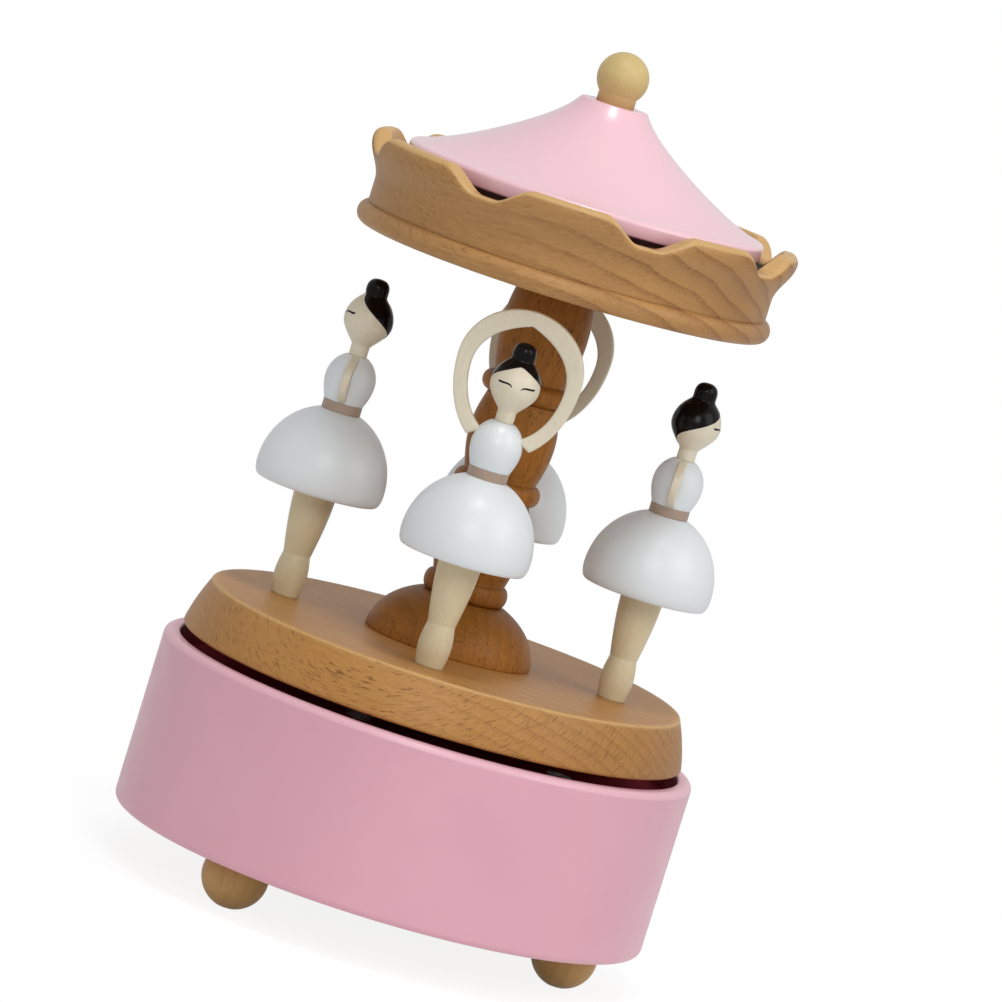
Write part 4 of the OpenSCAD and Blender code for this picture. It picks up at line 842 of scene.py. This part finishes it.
# The legs get a yellower copy of the maple: painted warm light bounced up from the deck.
deck_lit_leg_maple = plain_maple("deck_lit_leg_maple", "e0d2b0", "cebd94", "a9936a")
white = satin_paint("white_paint", "e0e5e7", "e6ebed", "e0e5e7", gloss=0.38, coat=0.15, coat_gloss=0.3)
taupe = satin_paint("belt_paint", "a68f7d", "b39a89", "a68f7d")
black = gloss_black()
belt_corners = [[1.5, belt_low, 0.0], [belt_r, belt_low, 0.15], [belt_r, waist_z, 0.15], [1.5, waist_z, 0.0]]
turnings = (("legs", legs_outline(), deck_lit_leg_maple, "maple"), ("skirt", skirt_outline(), white, "white_paint"),
            ("belt", eased(belt_corners), taupe, "belt_paint"),
            ("bodice", bodice_outline(), white, "white_paint"))
for number, place in enumerate(dancers):
    for part, outline, material, slot in turnings:
        made = skin(f"{place}_dancer_{part}_turning", at_dancer(number, turned(outline, 96)))
        dress(made, material, slot, f"{place}_dancer_{part}")
    head_node, arms_node = f"{place}_dancer_head", f"{place}_dancer_arms"
    dress(skin(f"{place}_dancer_face", at_dancer(number, head_rings())), maple, "maple", head_node)
    hair = at_dancer(number, hair_rings(hair_front[number], hair_nape[number]))
    dress(skin(f"{place}_dancer_hair", hair), black, "maple", head_node)
    for side_name, sign in (("left", -1), ("right", 1)):
        lash = at_dancer(number, lash_rings(sign, lash_z[number]))
        dress(skin(f"{place}_dancer_{side_name}_lash", lash), black, "maple", head_node)
    arms = lowered_arms() if place in ("right", "left") else raised_arms()
    for arm_name, strip in arms.items():
        dress(skin(f"{place}_dancer_{arm_name}", at_dancer(number, strip)), maple, "maple", arms_node)

# Crown -------------------------------------------------------------------------------------------
# One piece of beech, dished above, with a bead round its bottom, a hollow waist and a rim that is
# sawn into eight scallops and rounded over by sanding.

crown_low = 140.5
crown_floor = 154.0
crown_high = 160.0
crown_r = 46.0
crown_waist_r = 43.0
crown_waist_z = 149.5
crown_wall = 3.4
crown_floor_r = 40.0
crown_cove_r = 0.5
crown_cove_h = 0.8
crown_bead_r = 44.7
crown_bead_h = 4.5
tip_lip = 1.9
valley_lip = 0.9
inner_lip = 0.9
scallops = 8
scallop_depth = 4.4
scallop_pitch = 2 * np.pi * crown_r / scallops
valley_share = 0.1
tip_share = 0.42
sawn_off = (0, 1.5, 0, -1, -8, 0, 1.5, 0)
crown_bore_r = 2.0
lip_pale_share = 0.62
lip_fade = 0.25
# Painted shade on the dish's floor under the roof: where it starts and how softly it fades.
floor_shade_top = 1.6
floor_shade_fade = 0.8


def side_radius(z):
    """The crown's side stands upright to the waist, then swings out to the lip as half a wave."""
    swing = np.clip((z - crown_waist_z) / (crown_high - tip_lip - crown_waist_z), 0, 1)
    return crown_waist_r + (crown_r - crown_waist_r) * (1 - np.cos(np.pi * swing)) / 2


def valley_share_at(angle):
    """How deep in a valley the rim is at an angle, from 0 to 1: a cosine of the distance along the rim
    from the nearest valley's flat bottom. Each valley is a little off its even place, as it was sawn."""
    valleys = np.radians((np.arange(scallops) + 0.5) * 360 / scallops + sawn_off)[:, None]
    apart = np.abs((angle - valleys + np.pi) % (2 * np.pi) - np.pi).min(axis=0)[None]
    aside = (crown_r - crown_wall / 2) * np.sin(np.minimum(apart, np.pi / 2))
    flat, reach = scallop_pitch * valley_share / 2, scallop_pitch * (1 - tip_share) / 2
    return (1 + np.cos(np.pi * np.clip((aside - flat) / (reach - flat), 0, 1))) / 2


def crown_outside(top, lip, step=0.05):
    """The side from the bead up, and a round lip under the rim's top that starts at the side's slope."""
    slope = np.arctan((side_radius(top - lip + step) - side_radius(top - lip - step)) / (2 * step))
    start = top - lip * (1 + np.sin(slope))
    bead_top = crown_low + crown_bead_h
    side_z = bead_top + (start - bead_top) * np.linspace(0, 1, 48)[1:, None]
    side_r = side_radius(side_z)
    lip_angle = -slope + (np.pi / 2 + slope) * np.linspace(0, 1, 14)[1:, None]
    lip_r = side_r[-1] + lip * (np.cos(lip_angle) - np.cos(slope))
    lip_z = start + lip * (np.sin(slope) + np.sin(lip_angle))
    return np.vstack([side_r, lip_r]), np.vstack([side_z, lip_z])


def crown_inside(top):
    """A smaller round from the rim's top, and the inside, which leans in to the floor."""
    lean = (crown_r - crown_wall - crown_floor_r) / (crown_high - crown_floor)
    tilt = np.arctan(lean)
    touch = top - inner_lip * (1 - np.sin(tilt))
    middle = crown_r - crown_wall - lean * (crown_high - touch) + inner_lip * np.cos(tilt)
    angle = np.pi / 2 + (np.pi / 2 - tilt) * np.linspace(0, 1, 9)[1:, None]
    round_r, round_z = middle + inner_lip * np.cos(angle), top - inner_lip + inner_lip * np.sin(angle)
    down_z = round_z[-1] + (crown_floor + crown_cove_h - round_z[-1]) * np.linspace(0, 1, 12)[1:, None]
    down_r = round_r[-1] - lean * (round_z[-1] - down_z)
    return np.vstack([round_r, down_r]), np.vstack([round_z, down_z])


def crown_rings(around=900):
    """The crown's section carried round the axis. The rim's height falls in each valley, and the section
    above the bead follows it. Beside the rings it gives where the wood is paler, on the rim's outer lip,
    which is wear and a painted highlight, and above the inside's foot, and where the inside is painted
    darker near the floor as painted shade under the roof."""
    angle = np.linspace(0, 2 * np.pi, around, endpoint=False)[None]
    valley = valley_share_at(angle)
    top = crown_high - scallop_depth * valley
    lip = tip_lip + (valley_lip - tip_lip) * valley
    outside_r, outside_z = crown_outside(top, lip)
    inside_r, inside_z = crown_inside(top)
    bead_angle = np.linspace(-np.pi / 2, np.pi / 2, 21)
    bead_seat = crown_waist_r - 0.3
    bead_ring = np.column_stack([bead_seat + (crown_bead_r - bead_seat) * np.cos(bead_angle),
                                 crown_low + crown_bead_h * (1 + np.sin(bead_angle)) / 2])
    socket_z = crown_low + tenon_l
    under = [[crown_bore_r, crown_floor], [crown_bore_r, socket_z], [tenon_r, socket_z],
             [tenon_r, crown_low], [30.0, crown_low]]
    below = np.vstack([under, bead_ring])
    floor = np.array([[crown_floor_r - crown_cove_r, crown_floor], [30.0, crown_floor]])
    level = np.ones_like(angle)
    radius = np.vstack([below[:, :1] * level, outside_r, inside_r, floor[:, :1] * level])
    height = np.vstack([below[:, 1:] * level, outside_z, inside_z, floor[:, 1:] * level])
    # The outer lip is paler: wear and a painted highlight.
    wear_and_light = np.clip((height - (top - lip_pale_share * lip)) / (lip_fade * lip), 0, 1)
    inside = len(below) + len(outside_r)
    # Inside: paler high up, and darkened near the floor as painted shade.
    wear_and_light[inside:] = np.clip((height[inside:] - crown_floor - floor_shade_top) / floor_shade_fade, -1, 1)
    return np.stack([radius * np.cos(angle), radius * np.sin(angle), height], axis=-1), wear_and_light


crown_shape, crown_wear_and_light = crown_rings()
crown_wood = wood("crown_beech", "c2935a", "8c5d34", "5e3a18", fibre=beech_fibre, ring_normal=beech_rings,
                  ring=3.8, line=0.85, fade=(-5, 25), end_rays=0.05, end_tone=0.1, wear_and_light="dcb478")
dress(skin("crown_dish", crown_shape, closed=True, rubbed=crown_wear_and_light), crown_wood, "beech", "crown")

# Roof --------------------------------------------------------------------------------------------
# A hollow-sided cone of turned wood in a paler, glossier pink than the drum. Its spigot stands on the
# floor of the crown's dish.

roof_r = 38.3
roof_low = 156.4
roof_band = 3.5
roof_rise = 18.9
roof_top_r = 7.1
roof_round = 1.1
roof_lip = 0.5
spigot_r = 33.0
roof_slope_z = roof_low + roof_band
roof_top = roof_slope_z + roof_rise


def slope_height(radius):
    """The hollow slope: nine tenths a soft power curve, one tenth a steep start that dies away outwards."""
    out = (radius - roof_top_r) / (roof_r - roof_top_r)
    return roof_slope_z + roof_rise * (0.9 * (1 - out) ** 1.35 + 0.1 * np.exp(-12.5 * out))


def roof_outline():
    """Spigot, underside, a short upright band, the hollow slope and the small flat top."""
    shoulder = roof_r - roof_round
    foot_z = slope_height(shoulder) - roof_round
    radius = roof_top_r + (shoulder - roof_top_r) * np.linspace(1, 0, 91)[1:] ** 1.4
    slope = np.column_stack([radius, slope_height(radius) - 0.02 * (radius == roof_top_r)])
    return np.vstack([[[20.0, crown_floor], [spigot_r, crown_floor], [spigot_r, roof_low]],
                      bow(roof_r - roof_lip, roof_low + roof_lip, roof_lip, -90, 0, 6),
                      [[roof_r, foot_z - 0.3]], bow(shoulder, foot_z, roof_round, 0, 90, 10), slope,
                      [[roof_top_r - 0.12, roof_top], [4.0, roof_top]]])


roof_edge = roof_outline()
# Painted shade: the band and the underside darken towards a deep pink near the bottom.
roof_painted_shade = -0.5 * np.clip((roof_slope_z - 0.6 - roof_edge[:, 1]) / 3, 0, 1)
roof_paint = satin_paint("roof_paint", "f8c8d3", "f9d1da", "a04a58", gloss=0.34, coat=0.8, coat_gloss=0.2)
dress(skin("roof_cone", turned(roof_edge, 192), rubbed=roof_painted_shade[:, None]), roof_paint, "roof_paint", "roof")

# Finial ------------------------------------------------------------------------------------------
# A ball of pale wood, turned in one piece with its short neck and the peg that holds it in the roof's
# flat top, under clear satin varnish.

ball_r = 5.45
ball_neck = 4.05
finial_rise = 11.1
ball_z = roof_top + finial_rise - ball_r
ball_low = -np.degrees(np.arccos(ball_neck / ball_r))
ball_outline = np.vstack([[[2.5, roof_top], [ball_neck, roof_top]],
                          bow(0, ball_z, ball_r, ball_low, 89, 60)])
ball_wood = wood("finial_wood", "dcc488", "c7aa6b", "a88c5c", ring=1.8, line=0.2, fleck=(0.8, 0.2, 2.0),
                 fleck_share=0.2, end_tone=0.1, gloss=0.4)
dress(skin("finial_ball", turned(ball_outline, 96)), ball_wood, "pale_wood", "finial")
